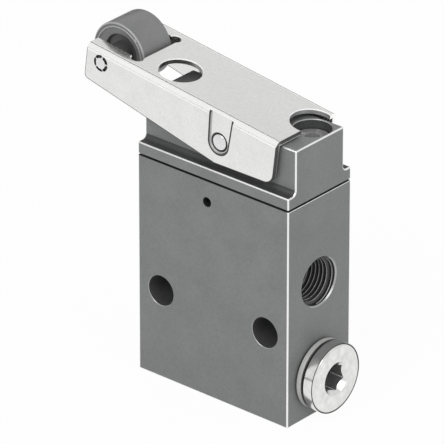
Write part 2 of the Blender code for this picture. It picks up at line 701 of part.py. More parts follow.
def roller_profile():
    """Half of the roller's section is worked out for one end and turned over for the other."""
    rim = ROLLER_WIDTH / 2
    rim_inner = ROLLER_RADIUS - ROLLER_RIM
    bore_radius = ROLLER_PIN_RADIUS + FIT
    hub_reach = slot_half - GAP
    end = [(ROLLER_RADIUS, rim - ROLLER_CHAMFER), (ROLLER_RADIUS - ROLLER_CHAMFER, rim), (rim_inner, rim)]
    end += [((rim_inner + ROLLER_HUB_RADIUS) / 2, rim - ROLLER_DISH), (ROLLER_HUB_RADIUS, rim - ROLLER_DISH)]
    far = [(radius, ROLLER_OFFSET - height) for radius, height in end]
    near = [(radius, ROLLER_OFFSET + height) for radius, height in reversed(end)]
    hub_near = [(bore_radius, hub_reach), (ROLLER_HUB_RADIUS, hub_reach)]
    hub_far = [(ROLLER_HUB_RADIUS, -hub_reach), (bore_radius, -hub_reach)]
    return hub_near + near + far + hub_far


roller = turned(
    "roller", roller_profile(), ring=True, steps=ROLLER_STEPS,
    location=roller_axis, turn=TO_Y, parent=pivot,
)
finish(roller, GREY_PLASTIC)

# Plug and its sealing ring, in the lower port of the right end face
ring_start = FIT
collar_start = ring_start + SEALING_RING_THICKNESS + FIT
collar_end = collar_start + PLUG_COLLAR_THICKNESS
shank_radius = PORT_RADIUS - FIT
shank_end = collar_start - PLUG_SHANK_LENGTH
edge_centre = (PLUG_COLLAR_RADIUS - PLUG_EDGE_RADIUS, collar_end - PLUG_EDGE_RADIUS)
rounded_edge = arc(edge_centre, PLUG_EDGE_RADIUS, math.pi / 2, 0, CORNER_STEPS)
profile = [(0, collar_end), *rounded_edge, (PLUG_COLLAR_RADIUS, collar_start), (shank_radius, collar_start)]
profile += [(shank_radius, shank_end), (0, shank_end)]
plug_place = (right_end, 0, LOWER_PORT_Z)
plug = turned("port_plug", profile, location=plug_place, turn=TO_X)
plug_face = (right_end + collar_end, 0, LOWER_PORT_Z)
socket_turn = TO_X @ Matrix.Rotation(PLUG_TURN, 4, "Z")
cut(plug, hexagon("plug_socket", PLUG_SOCKET_WIDTH, PLUG_SOCKET_DEPTH, plug_face, socket_turn))
mouth = PLUG_SOCKET_WIDTH / math.sqrt(3) + PLUG_COUNTERSINK
sink = [(0, OVERRUN), (mouth + OVERRUN, OVERRUN), (mouth / 2, -mouth / 2), (0, -mouth / 2)]
cut(plug, turned("plug_countersink", sink, location=plug_face, turn=TO_X, steps=SMALL_STEPS))
finish(plug, BRIGHT_NICKEL)
ring_end = ring_start + SEALING_RING_THICKNESS
sealing_ring = ring(
    "plug_sealing_ring", shank_radius + FIT, SEALING_RING_RADIUS, ring_start, ring_end,
    location=plug_place, turn=TO_X,
)
finish(sealing_ring, BRIGHT_NICKEL)


def underside_above(x):
    """Height of the lever plate's underside over a place on the head, at rest."""
    along = along_lever(x, plate_bottom)
    return pivot_z - along * math.sin(LEVER_TILT) + plate_bottom * math.cos(LEVER_TILT)


# Pilot stage: a stem that the lever presses, its seal, and the disc that opens below it
stem_top = underside_above(stem_x + STEM_RADIUS / 2) - GAP
dome = arc((0, stem_top - STEM_RADIUS), STEM_RADIUS, math.pi / 2, 0, CORNER_STEPS)
profile = [*dome, (STEM_RADIUS, pocket_top), (0, pocket_top)]
finish(turned("stem", profile, location=stem_place, steps=SMALL_STEPS), STEEL)
finish(torus("stem_seal", seal_ring_radius, STEM_SEAL_SECTION, (stem_x, 0, stem_seal_z)), RUBBER)
disc_top = pocket_top - FIT
disc_bottom = disc_top - PILOT_DISC_THICKNESS
pilot_disc = rod(
    "pilot_disc", PILOT_DISC_RADIUS, disc_bottom, disc_top, PILOT_DISC_CHAMFER,
    location=stem_place, steps=SMALL_STEPS,
)
finish(pilot_disc, BRASS)
seat_top = head_bottom + PILOT_SEAT_THICKNESS
pilot_seat = ring(
    "pilot_spring_seat", PILOT_SEAT_HOLE, PILOT_POCKET_RADIUS - FIT, head_bottom, seat_top,
    location=stem_place, steps=SMALL_STEPS,
)
finish(pilot_seat, BRASS)
coil_low = seat_top + FIT
coil_high = disc_bottom - FIT
pilot_spring = coil("pilot_spring", PILOT_COIL_RADIUS, PILOT_WIRE, coil_low, coil_high, PILOT_TURNS, stem_place)
finish(pilot_spring, STEEL)

# Spindle, from its riveted foot up to the rivet over the piston, with the upper poppet as a collar
foot_bottom = lower_poppet_bottom - FIT - RIVET_HEIGHT
piston_shoulder = piston_bottom - FIT
foot_top = lower_poppet_bottom - FIT
lower_shoulder = lower_poppet_top + FIT
spindle_groove_roof = upper_poppet_bottom + seal_groove_depth
profile = [(0, rivet_top), (RIVET_RADIUS, rivet_top), (RIVET_RADIUS, rivet_bottom)]
profile += [(SPINDLE_NECK_RADIUS, rivet_bottom), (SPINDLE_NECK_RADIUS, piston_shoulder)]
profile += [(SPINDLE_RADIUS, piston_shoulder), (SPINDLE_RADIUS, upper_poppet_top)]
profile += [(POPPET_RADIUS, upper_poppet_top), (POPPET_RADIUS, upper_poppet_bottom)]
profile += [(groove_outer, upper_poppet_bottom), (groove_outer, spindle_groove_roof)]
profile += [(groove_inner, spindle_groove_roof), (groove_inner, upper_poppet_bottom)]
profile += [(SPINDLE_RADIUS, upper_poppet_bottom), (SPINDLE_RADIUS, lower_shoulder)]
profile += [(SPINDLE_NECK_RADIUS, lower_shoulder), (SPINDLE_NECK_RADIUS, foot_top)]
profile += [(RIVET_RADIUS, foot_top), (RIVET_RADIUS, foot_bottom), (0, foot_bottom)]
finish(turned("valve_spindle", profile, steps=INNER_STEPS), STEEL)


def poppet_seal(name, bottom):
    top = bottom + POPPET_SEAL_THICKNESS
    finish(ring(name, POPPET_SEAL_INNER, POPPET_SEAL_OUTER, bottom, top, steps=INNER_STEPS), RUBBER)


poppet_seal("upper_poppet_seal", upper_seal_bottom)
poppet_seal("lower_poppet_seal", lower_seal_top - POPPET_SEAL_THICKNESS)

# Lower poppet, with a groove for its seal in its upper face
groove_floor = lower_poppet_top - seal_groove_depth
profile = [(groove_outer, lower_poppet_top), (POPPET_RADIUS, lower_poppet_top)]
profile += [(POPPET_RADIUS, lower_poppet_bottom), (neck_bore, lower_poppet_bottom)]
profile += [(neck_bore, lower_poppet_top), (groove_inner, lower_poppet_top)]
profile += [(groove_inner, groove_floor), (groove_outer, groove_floor)]
finish(turned("lower_poppet", profile, ring=True, steps=INNER_STEPS), BRASS)

# Seat rings, each with a sealing ring in its outer groove and a lip toward its poppet
lip_radius = (POPPET_SEAL_INNER + POPPET_SEAL_OUTER) / 2
oring_radius = VALVE_BORE_RADIUS - FIT - ORING_SECTION
oring_groove = oring_radius - ORING_SECTION - FIT


def grooved_side(outer, groove, half_height, bottom, top):
    """The outer side of a turned piece with a sealing groove halfway, from its top down."""
    middle = (bottom + top) / 2
    side = [(outer, top), (outer, middle + half_height), (groove, middle + half_height)]
    return side + [(groove, middle - half_height), (outer, middle - half_height), (outer, bottom)]


def bore_side(bottom, top):
    return grooved_side(inner_radius, oring_groove, ORING_SECTION + FIT, bottom, top)


def bore_oring(name, bottom, top):
    finish(torus(name, oring_radius, ORING_SECTION, (0, 0, (bottom + top) / 2)), RUBBER)


lower_seat = ("lower", lower_seat_bottom, lower_seat_top, -1)
upper_seat = ("upper", upper_seat_bottom, upper_seat_top, 1)
for level, bottom, top, lip in (lower_seat, upper_seat):
    outer = bore_side(bottom, top)
    opening = [(SEAT_OPENING, bottom), (SEAT_OPENING, top)]
    face = top if lip > 0 else bottom
    ridge = [(lip_radius - lip * SEAT_LIP_WIDTH / 2, face), (lip_radius, face + lip * SEAT_LIP_HEIGHT)]
    ridge += [(lip_radius + lip * SEAT_LIP_WIDTH / 2, face)]
    profile = [*outer, *opening, *ridge] if lip > 0 else [*outer, *ridge, *opening]
    finish(turned(f"{level}_seat_ring", profile, ring=True, steps=INNER_STEPS), BRASS)
    bore_oring(f"{level}_seat_oring", bottom, top)

# Cage between the seats, with cross windows toward the working port
cage = ring("cage_sleeve", inner_radius - CAGE_WALL, inner_radius, cage_bottom, cage_top, steps=INNER_STEPS)
window_z = cage_top - CAGE_END - CAGE_WINDOW_RADIUS
reach = VALVE_BORE_RADIUS
for name, turn in (("long", TO_X), ("cross", TO_Y)):
    cut(cage, rod(
        f"{name}_window", CAGE_WINDOW_RADIUS, -reach, reach,
        location=(0, 0, window_z), turn=turn, steps=SMALL_STEPS,
    ))
finish(cage, BRASS)

# Guide bush under the piston chamber, with its sealing ring
bush_bore = SPINDLE_RADIUS + FIT
profile = bore_side(bush_bottom, bush_top) + [(bush_bore, bush_bottom), (bush_bore, bush_top)]
finish(turned("guide_bush", profile, ring=True, steps=INNER_STEPS), BRASS)
bore_oring("guide_bush_seal", bush_bottom, bush_top)

# Piston, with a sealing ring in its outer groove
piston_radius = PISTON_BORE_RADIUS - FIT
piston_seal_radius = piston_radius - PISTON_SEAL_SECTION
piston_groove = piston_seal_radius - PISTON_SEAL_SECTION - FIT
groove_half = PISTON_SEAL_SECTION + FIT
profile = grooved_side(piston_radius, piston_groove, groove_half, piston_bottom, piston_top)
profile += [(neck_bore, piston_bottom), (neck_bore, piston_top)]
finish(turned("piston", profile, ring=True, steps=INNER_STEPS), ALUMINIUM)
piston_seal_place = (0, 0, (piston_bottom + piston_top) / 2)
finish(torus("piston_seal", piston_seal_radius, PISTON_SEAL_SECTION, piston_seal_place), RUBBER)

# Spring under the lower poppet
axis = (0, 0, 0)
return_spring = coil(
    "return_spring", RETURN_COIL_RADIUS, RETURN_WIRE, spring_bottom, spring_top, RETURN_TURNS, axis,
)
finish(return_spring, STEEL)
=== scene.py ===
"""Looks of the roller lever air valve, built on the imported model.

Metres, +Z up, in the model's own frame: the lever reaches out to -X, the plugged port faces +X and the
front face with the vent looks along -Y.
"""

import math

import bmesh
import bpy
from mathutils import Matrix, Vector


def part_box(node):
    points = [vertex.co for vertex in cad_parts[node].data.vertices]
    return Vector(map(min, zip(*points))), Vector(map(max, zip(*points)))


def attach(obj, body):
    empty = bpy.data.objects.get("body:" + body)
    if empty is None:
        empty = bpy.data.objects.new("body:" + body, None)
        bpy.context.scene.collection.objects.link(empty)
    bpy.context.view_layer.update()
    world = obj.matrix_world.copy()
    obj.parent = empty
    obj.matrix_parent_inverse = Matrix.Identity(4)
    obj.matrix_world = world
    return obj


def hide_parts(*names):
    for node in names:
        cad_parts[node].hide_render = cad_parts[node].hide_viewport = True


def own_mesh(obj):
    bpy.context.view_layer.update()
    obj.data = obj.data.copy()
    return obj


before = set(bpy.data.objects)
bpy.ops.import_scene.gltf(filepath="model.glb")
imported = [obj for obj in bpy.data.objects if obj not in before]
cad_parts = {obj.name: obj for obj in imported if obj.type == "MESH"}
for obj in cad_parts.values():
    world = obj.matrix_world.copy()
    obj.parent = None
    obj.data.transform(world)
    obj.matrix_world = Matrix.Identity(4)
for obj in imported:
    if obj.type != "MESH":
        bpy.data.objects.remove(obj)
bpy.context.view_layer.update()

# Clearances, and the number of steps that curves are drawn in
GAP = 0.0003
FIT = 0.00025
OVERRUN = 0.001
MERGE = 0.000001
SHARP_ANGLE = math.radians(32)
STEPS = 96
HOLE_STEPS = 64
ARC_STEPS = 8
EDGE_STEPS = 4
BEAD_STEPS = 6

# Valve body
BODY_WIDTH = 0.0370
BODY_DEPTH = 0.0180
BODY_HEIGHT = 0.0455
EDGE_RADIUS = 0.00025
SEAM_EDGE_RADIUS = 0.0001
EDGE_SEGMENTS = 3
MOUNTING_HOLE_INSET = 0.0056
MOUNTING_HOLE_Z = 0.01855
MOUNTING_HOLE_RADIUS = 0.0031
MOUNTING_HOLE_CHAMFER = 0.00009
MOUTH_CHAMFER = 0.00025
VENT_X = -0.00135
VENT_DROP = 0.0043
VENT_RADIUS = 0.0010

# Threaded ports, two on each end face. The thread's shares are of its pitch, and its run-in is in turns.
PORT_RADIUS = 0.00486
PORT_DEPTH = 0.0090
LOWER_PORT_Z = 0.0086
UPPER_PORT_Z = 0.02765
PORT_DRILL_RADIUS = 0.0013
PORT_DRILL_OFFSET = 0.0026
SUPPLY_DRILL_RADIUS = 0.0024
THREAD_CREST_RADIUS = 0.004283
THREAD_PITCH = 0.000907
THREAD_TURNS = 8
THREAD_STEPS = 64
THREAD_ROOT_SHARE = 0.42
THREAD_CREST_SHARE = 0.07
THREAD_RUN_IN = 1.2

# Stepped bore through the middle of the body
VALVE_BORE_RADIUS = 0.0049
BORE_FLOOR_Z = 0.0034
PISTON_BORE_RADIUS = 0.0060
CHAMBER_FLOOR_Z = 0.0355
RECESS_DEPTH = 0.0008
RECESS_INSET = 0.00115
RECESS_CORNER = 0.00185

# Seam and head
SEAM = 0.0005
HEAD_HEIGHT = 0.0114
HEAD_FLANGE_HEIGHT = 0.0023
HEAD_SHELF = 0.00215
HEAD_FILLET = 0.0010
SCREW_INSET = 0.0041
SCREW_Y = 0.0026
SCREW_RADIUS = 0.0020
SCREW_END_Z = 0.0356
SCREW_HEAD_RADIUS = 0.0035
SCREW_HEAD_HEIGHT = 0.0040
SCREW_HEAD_DEPTH = 0.0018
SCREW_SOCKET_WIDTH = 0.0030
SCREW_SOCKET_DEPTH = 0.0020
SCREW_CHAMFER = 0.0003
COUNTERBORE_CHAMFER = 0.00015
STEM_X = -0.0065
STEM_RADIUS = 0.0018
STEM_SEAL_Z = 0.0554
STEM_SEAL_POCKET_RADIUS = 0.0034
STEM_SEAL_POCKET_HALF = 0.0008
PILOT_POCKET_RADIUS = 0.0034
PILOT_POCKET_DEPTH = 0.0060

# Lever, in its own frame: x runs along the plate, z stands off it, and the pivot is the origin
PIVOT_X = 0.00111
PIVOT_Z = 0.05421
LEVER_TILT = math.radians(7.1)
SHEET = 0.0010
LEVER_INSET = 0.0004
BEND_RADIUS = 0.0012
PLATE_TOP = 0.00627
LEVER_OVERHANG = 0.01496
TAIL_PAST_NOTCH = 0.00081
FLANGE_TIP_Z = -0.00105
FLANGE_TIP_CORNER = 0.0009
KNEE_X = -0.0005
KNEE_Z = -0.0046
KNEE_CORNER = 0.0010
TAIL_FOOT_Z = -0.00275
TAIL_CORNER = 0.0021

# Openings in the lever's plate
ROLLER_SLOT_WIDTH = 0.0111
ROLLER_SLOT_CLEARANCE = 0.00065
RELIEF_RADIUS = 0.0012
RELIEF_SET_IN = 0.0002
ACCESS_HOLE_SHIFT = 0.00095
ACCESS_HOLE_RADIUS = 0.0042
NOTCH_RADIUS = 0.0043
OPENING_CHAMFER = 0.00018

# Set-in tongues that carry the pivot pin
TONGUE_WIDTH = 0.0045
TONGUE_FLARE = 0.00035
TONGUE_STEP = 0.0003
TONGUE_SLOPE = 0.0002
TONGUE_FOOT_Z = -0.0023
TONGUE_TOP_DROP = 0.0004
TONGUE_LINE = 0.00014
EDGE_LINE = 0.00014
LINE_DEPTH = 0.00004
PIVOT_PIN_RADIUS = 0.0016
PIN_EDGE_RADIUS = 0.0002
PIN_STAND_OUT = 0.0001
PIN_CLEARANCE = 0.00012
PIVOT_SINK_RADIUS = 0.0020
PIVOT_SINK_DEPTH = 0.0001

# Stake marks round the ends of the roller pin
STAKE_MARKS = 5
STAKE_INNER = 0.00112
STAKE_OUTER = 0.0017
STAKE_DEPTH = 0.00035
STAKE_SHARE = 0.8

# Roller
ROLLER_SET_BACK = 0.00366
ROLLER_Z = 0.00348
ROLLER_RADIUS = 0.0064
ROLLER_WIDTH = 0.0080
ROLLER_OFFSET = 0.0005
ROLLER_EDGE_RADIUS = 0.0004
ROLLER_BEAD_RADIUS = 0.0055
ROLLER_BEAD_HALF = 0.00015
ROLLER_GLINT_START_SHARE = 0.125
ROLLER_GLINT_END_SHARE = 0.5
ROLLER_BAND_INNER = 0.0039
ROLLER_BAND_DEPTH = 0.0003
ROLLER_BAND_SLOPE = 0.0004
ROLLER_DISH = 0.0014
ROLLER_DISH_SLOPE = 0.0003
ROLLER_HUB_RADIUS = 0.0023
ROLLER_PIN_RADIUS = 0.00145

# Plug and its sealing ring
PLUG_COLLAR_RADIUS = 0.0070
PLUG_COLLAR_THICKNESS = 0.0025
PLUG_RIM = 0.00028
PLUG_LIP = 0.0009
PLUG_LIP_RADIUS = 0.0015
PLUG_SHANK_LENGTH = 0.0060
PLUG_SOCKET_WIDTH = 0.0050
PLUG_SOCKET_DEPTH = 0.0038
PLUG_COUNTERSINK = 0.0005
SOCKET_CORNER_RADIUS = 0.0002
PLUG_TURN = math.radians(10)
SEALING_RING_THICKNESS = 0.0014
SEALING_RING_RADIUS = 0.0069
SEALING_RING_EDGE = 0.0002

# Camera, from the fit to the photograph: angles in degrees, and the scale in pixels per metre
PICTURE_SIZE = 444
CAMERA_AZIMUTH = 40.812
CAMERA_ELEVATION = 27.271
CAMERA_DISTANCE = 1.3
CAMERA_TARGET = Vector((-0.00543, 0, 0.03215))
CAMERA_SCALE = 5310.3
SENSOR_WIDTH = 36
CLIP_NEAR_SHARE = 0.01
CLIP_FAR_SHARE = 10

# Light and floor
LAMP_DISTANCE = 1.0
FLAG_DISTANCE = 0.6
AMBIENT_STRENGTH = 0.62
BACKDROP = (0.88, 0.88, 0.88, 1)
FLOOR_COLOUR = (0.82, 0.82, 0.82, 1)
FLOOR_SIZE = 3.0
FLOOR_GLOW_SHARE = 0.96
FLAG_COLOUR = (0.01, 0.01, 0.01, 1)
WHITE = (1, 1, 1, 1)

# The part of each noise's range that a finish spreads over its colours and roughness, the pointiness of an
# edge paled by wear and on the roller by a painted glint, and how far turning rings wander
COLOUR_NOISE = (0.7, 1.3)
ROUGHNESS_NOISE = (0.3, 0.7)
WEAR_AND_GLINT_POINTINESS = (0.53, 0.62)
RING_WOBBLE = 0.4

# Turns of a piece that is drawn along Z, and the planes that outlines are drawn in
TO_X = Matrix.Rotation(math.pi / 2, 4, "Y")
TO_Y = Matrix.Rotation(-math.pi / 2, 4, "X")
TO_MINUS_X = Matrix.Rotation(-math.pi / 2, 4, "Y")
TO_MINUS_Y = Matrix.Rotation(math.pi / 2, 4, "X")
OUTLINE_IN_YZ = Matrix(((0, 0, 1, 0), (1, 0, 0, 0), (0, 1, 0, 0), (0, 0, 0, 1)))
OUTLINE_IN_XZ = Matrix(((1, 0, 0, 0), (0, 0, -1, 0), (0, 1, 0, 0), (0, 0, 0, 1)))


# Materials
def feed(tree, socket, value):
    """Links a shader socket to another one, or sets it to a plain value."""
    if isinstance(value, bpy.types.NodeSocket):
        tree.links.new(value, socket)
    else:
        socket.default_value = value


def add(tree, kind, settings=None, **values):
    """Adds a shader node with its settings and the values of its inputs."""
    made = tree.nodes.new(kind)
    for key, value in (settings or {}).items():
        setattr(made, key, value)
    for key, value in values.items():
        feed(tree, made.inputs[key.replace("_", " ")], value)
    return made


def reckoned(tree, operation, first, second):
    """The result of a Math node with two inputs."""
    made = add(tree, "ShaderNodeMath", {"operation": operation})
    feed(tree, made.inputs[0], first)
    feed(tree, made.inputs[1], second)
    return made.outputs[0]


def ranged(tree, value, taken, low=0.0, high=1.0):
    """Maps the taken range of a value to another range."""
    start, end = taken
    made = add(
        tree, "ShaderNodeMapRange", Value=value, From_Min=start, From_Max=end, To_Min=low, To_Max=high,
    )
    return made.outputs["Result"]


def tinted(colour, share):
    """A colour made darker or paler, with full alpha."""
    return (*[min(channel * share, 1) for channel in colour], 1)


def surface(
    name, colour, roughness, metallic, tint=0.06, grain=2500, stretch=(1, 1, 1), relief=0.000004,
    rough_spread=0.06, blotch=140, wear_and_glint=None, rings=0,
):
    """A finish with fine grain and slow blotches. It may have turning rings, and a paler colour for edges:
    wear, and on the plastic a painted glint.
    """
    made = bpy.data.materials.new(name)
    made.use_nodes = True
    tree = made.node_tree
    shader = tree.nodes["Principled BSDF"]
    place = add(tree, "ShaderNodeTexCoord").outputs["Object"]
    stretched = add(tree, "ShaderNodeMapping", Vector=place, Scale=stretch).outputs["Vector"]
    fine = add(tree, "ShaderNodeTexNoise", Vector=stretched, Scale=grain, Detail=3.0).outputs["Fac"]
    slow = add(tree, "ShaderNodeTexNoise", Vector=place, Scale=blotch, Detail=2.0).outputs["Fac"]
    spread = ranged(tree, reckoned(tree, "ADD", fine, slow), COLOUR_NOISE)
    dark = tinted(colour, 1 - tint)
    pale = tinted(colour, 1 + tint)
    colours = add(tree, "ShaderNodeMixRGB", Fac=spread, Color1=dark, Color2=pale).outputs["Color"]
    if wear_and_glint:
        mask = ranged(tree, add(tree, "ShaderNodeNewGeometry").outputs["Pointiness"], WEAR_AND_GLINT_POINTINESS)
        colours = add(tree, "ShaderNodeMixRGB", Fac=mask, Color1=colours, Color2=(*wear_and_glint, 1)).outputs["Color"]
    rough = ranged(tree, slow, ROUGHNESS_NOISE, roughness - rough_spread, roughness + rough_spread)
    height = fine
    if rings:
        turning = add(
            tree, "ShaderNodeTexWave", {"wave_type": "RINGS", "rings_direction": "Z"},
            Vector=place, Scale=rings, Distortion=RING_WOBBLE, Detail=1.0,
        )
        height = reckoned(tree, "ADD", fine, turning.outputs["Fac"])
    bump = add(tree, "ShaderNodeBump", Height=height, Strength=1.0, Distance=relief).outputs["Normal"]
    tree.links.new(colours, shader.inputs["Base Color"])
    tree.links.new(rough, shader.inputs["Roughness"])
    tree.links.new(bump, shader.inputs["Normal"])
    shader.inputs["Metallic"].default_value = metallic
    return made


ANODISED = surface("dark_anodised", (0.200, 0.204, 0.204), 0.52, 0.10, tint=0.12, relief=0.000007)
# Bare metal on rounded edges, kept pale and glossy as a painted highlight along them
BARE_HIGHLIGHT_EDGE = surface("bare_highlight_edge", (0.88, 0.88, 0.87), 0.30, 1.0, tint=0.04)
# Nearly black: painted shade inside holes, ports, pockets, the plug socket's floor and the stake marks
SHADED_BORE = surface("painted_shade_bore", (0.035, 0.036, 0.037), 0.45, 0.3, tint=0.2)
# Dark grey: painted shade inside the mounting holes
SHADED_DRILLED_BORE = surface("painted_shade_drilled_bore", (0.085, 0.085, 0.085), 0.50, 0.2, tint=0.2)
BARE_BORE = surface("machined_bore", (0.55, 0.56, 0.56), 0.30, 1.0, tint=0.08)
# Dark grey: painted shade inside the head's counterbores
SHADED_COUNTERBORE = surface("counterbore", (0.075, 0.076, 0.077), 0.45, 0.2, tint=0.2)
HOLE_RIM = surface("hole_rim", (0.40, 0.40, 0.40), 0.40, 0.7, tint=0.1)
# The thread's flanks are painted shade, and its crests nearly white as a painted highlight
SHADED_THREAD_FLANK = surface("painted_shade_thread_flank", (0.08, 0.08, 0.08), 0.40, 0.4, tint=0.15)
LIT_THREAD_CREST = surface("painted_highlight_thread_crest", (0.96, 0.96, 0.96), 0.30, 0.0, tint=0.04)
PORT_MOUTH = surface("port_mouth", (0.40, 0.40, 0.40), 0.28, 1.0, tint=0.1)
# Nearly black: painted shade for the head's shelves under the lever
PAINTED_SHADE_SHELF = surface("painted_shade_anodised", (0.055, 0.056, 0.057), 0.55, 0.1, tint=0.2, relief=0.000006)
NICKEL_SHEET = surface(
    "nickel_sheet", (0.78, 0.78, 0.77), 0.22, 1.0, tint=0.05, grain=1800, relief=0.000003, blotch=220,
)
# A darker copy of the sheet for its cut edges: painted shade
CUT_EDGE = surface("plated_edge", (0.20, 0.20, 0.20), 0.35, 0.8, tint=0.10, grain=3500, stretch=(1, 1, 0.15))
HOLE_WALL = surface("plated_hole_wall", (0.42, 0.42, 0.42), 0.34, 1.0, tint=0.18, grain=3500)
# A paler copy of the holes' walls for the notch: painted light
LIT_NOTCH_WALL = surface("painted_light_notch_wall", (0.60, 0.60, 0.60), 0.30, 0.7, tint=0.14, grain=3500)
# A paler, glossier copy of the sheet: a painted highlight on the bends and the tail's rear edge
PAINTED_HIGHLIGHT_SHEET = surface("painted_highlight_sheet", (0.97, 0.97, 0.96), 0.18, 1.0, tint=0.02, grain=1800, relief=0.000002)
# A darker copy of the sheet for the walls of the tongues' pockets: painted shade
SHADED_STEP_WALL = surface("painted_shade_step", (0.42, 0.42, 0.42), 0.40, 1.0, tint=0.2, grain=3500)
# Nearly black lines of painted shade: along the lever's edges, round its tongues, on the plug's and ring's
# rims
PAINTED_SHADE_LINE = surface("painted_shade_line", (0.030, 0.030, 0.030), 0.50, 0.0, tint=0.3)
# A darker copy for the plug socket's walls: painted shade
SHADED_SOCKET_WALL = surface("painted_shade_socket_wall", (0.30, 0.30, 0.30), 0.35, 0.6, tint=0.10)
# Nearly white painted highlight lines: the tail's inner edge, the openings' chamfers, the screws' rims, the
# socket's corners
PAINTED_HIGHLIGHT_EDGE = surface("painted_highlight_edge", (0.95, 0.95, 0.95), 0.40, 0.0, tint=0.02)
WASHER = surface("washer", (0.62, 0.62, 0.61), 0.45, 0.3, tint=0.05)
PLATED_SCREW = surface("plated_screw", (0.40, 0.40, 0.40), 0.42, 0.6, tint=0.12, wear_and_glint=(0.7, 0.7, 0.7))
# Paler than the screw: painted light that fills the screw socket's shade
LIT_SCREW_SOCKET = surface("painted_light_screw_socket", (0.50, 0.50, 0.50), 0.45, 0.5, tint=0.15)
POLISHED = surface(
    "polished_nickel", (0.76, 0.76, 0.75), 0.16, 1.0, tint=0.10, grain=900, relief=0.000002,
    rough_spread=0.05, blotch=420, rings=900,
)
# The roller's paler edges are partly wear and partly a painted glint
GREY_PLASTIC = surface(
    "grey_plastic", (0.200, 0.201, 0.201), 0.40, 0.0, tint=0.10, relief=0.000004, rings=700,
    wear_and_glint=(0.50, 0.50, 0.50),
)
SHADED_PLASTIC = surface("shaded_plastic", (0.075, 0.075, 0.075), 0.45, 0.0, tint=0.15)
# Paler plastic for the roller's bead and edge: a painted glint
PAINTED_GLINT_PLASTIC = surface("painted_glint_plastic", (0.40, 0.40, 0.40), 0.30, 0.0, tint=0.05)
STEEL = surface("bright_steel", (0.76, 0.76, 0.76), 0.30, 1.0, tint=0.10, grain=3000, relief=0.000008)
SPRING_STEEL = surface("spring_steel", (0.50, 0.51, 0.52), 0.28, 1.0)
BRASS = surface("turned_brass", (0.70, 0.52, 0.24), 0.28, 1.0, rings=900, wear_and_glint=(0.85, 0.70, 0.42))
RUBBER = surface("black_rubber", (0.018, 0.018, 0.018), 0.72, 0.0, tint=0.25, relief=0.000008)
ALUMINIUM = surface("turned_aluminium", (0.72, 0.72, 0.72), 0.30, 1.0, rings=900)


# Shapes
def object_of(name, mesh, place=Matrix(), finish=None):
    """A new object in the scene, with a finish where one is given."""
    obj = bpy.data.objects.new(name, mesh)
    bpy.context.scene.collection.objects.link(obj)
    obj.matrix_world = place
    if finish:
        mesh.materials.append(finish)
    return obj


def mesh_of(name, shape):
    """The mesh of a bmesh shape, whose faces all look outward."""
    bmesh.ops.recalc_face_normals(shape, faces=shape.faces)
    mesh = bpy.data.meshes.new(name)
    shape.to_mesh(mesh)
    shape.free()
    return mesh


def at(x, y, z, turn=Matrix(), frame_of=Matrix()):
    """A place and a turn in the object's frame, or in a frame of its own."""
    return frame_of @ Matrix.Translation((x, y, z)) @ turn


def settle(obj):
    """Applies the modifiers of the object, and shades it smooth between its sharp edges."""
    bpy.context.view_layer.update()
    graph = bpy.context.evaluated_depsgraph_get()
    mesh = bpy.data.meshes.new_from_object(obj.evaluated_get(graph))
    old = obj.data
    obj.modifiers.clear()
    obj.data = mesh
    bpy.data.meshes.remove(old)
    mesh.name = obj.name
    mesh.shade_smooth()
    mesh.set_sharp_from_angle(angle=SHARP_ANGLE)
    return obj


def combine(obj, other, operation, *finishes):
    """Cuts, joins or intersects with a helper, whose faces bring their own finish, and drops the helper."""
    for finish in finishes:
        other.data.materials.append(finish)
    modifier = obj.modifiers.new("Shape", "BOOLEAN")
    modifier.operation = operation
    modifier.solver = "EXACT"
    modifier.material_mode = "TRANSFER"
    modifier.object = other
    settle(obj)
    bpy.data.objects.remove(other)


def cut(obj, other, *finishes):
    """Cuts a helper out of an object. The cut faces take the helper's finishes."""
    combine(obj, other, "DIFFERENCE", *finishes)


def second_finish(obj, wanted):
    """Gives the wanted faces of a piece or a cutter its second finish."""
    for face in obj.data.polygons:
        face.material_index = int(wanted(face))
    return obj


def beyond(radius):
    """A test for the faces that lie past a radius."""
    return lambda face: face.center.xy.length > radius


def level(face):
    """Tells a face that looks along Z."""
    return abs(face.normal.z) > math.cos(SHARP_ANGLE)


def upright(face):
    """Tells a face that looks across Z."""
    return abs(face.normal.z) < math.sin(SHARP_ANGLE)


def round_edges(obj, radius, finish, wanted, segments=EDGE_SEGMENTS):
    """Rounds the sharp edges whose midpoints are wanted, and gives the rounding a finish of its own."""
    shape = bmesh.new()
    shape.from_mesh(obj.data)
    sharp = [
        edge for edge in shape.edges
        if edge.is_manifold and edge.calc_face_angle() > SHARP_ANGLE
        and wanted((edge.verts[0].co + edge.verts[1].co) / 2)
    ]
    if finish.name not in obj.data.materials:
        obj.data.materials.append(finish)
    bmesh.ops.bevel(
        shape, geom=sharp, offset=radius, segments=segments, profile=0.5, affect="EDGES",
        clamp_overlap=True, material=obj.data.materials.find(finish.name),
    )
    shape.to_mesh(obj.data)
    shape.free()
    settle(obj)


def turned(name, profile, place, finish=None, ring=False, steps=STEPS):
    """Turns (radius, height) points, which run down the outer side, about Z. A ring's profile is closed."""
    shape = bmesh.new()
    points = [shape.verts.new((radius, 0, height)) for radius, height in profile]
    for start, end in zip(points, points[1:] + points[:1] if ring else points[1:]):
        shape.edges.new((start, end))
    bmesh.ops.spin(
        shape, geom=shape.verts[:] + shape.edges[:], cent=(0, 0, 0), axis=(0, 0, 1),
        angle=2 * math.pi, steps=steps, use_merge=True,
    )
    bmesh.ops.remove_doubles(shape, verts=shape.verts, dist=MERGE)
    return settle(object_of(name, mesh_of(name, shape), place, finish))


def rod(name, radius, low, high, place):
    """A plain rod, which is a cutter for a plain hole."""
    return turned(name, [(0, high), (radius, high), (radius, low), (0, low)], place, steps=HOLE_STEPS)


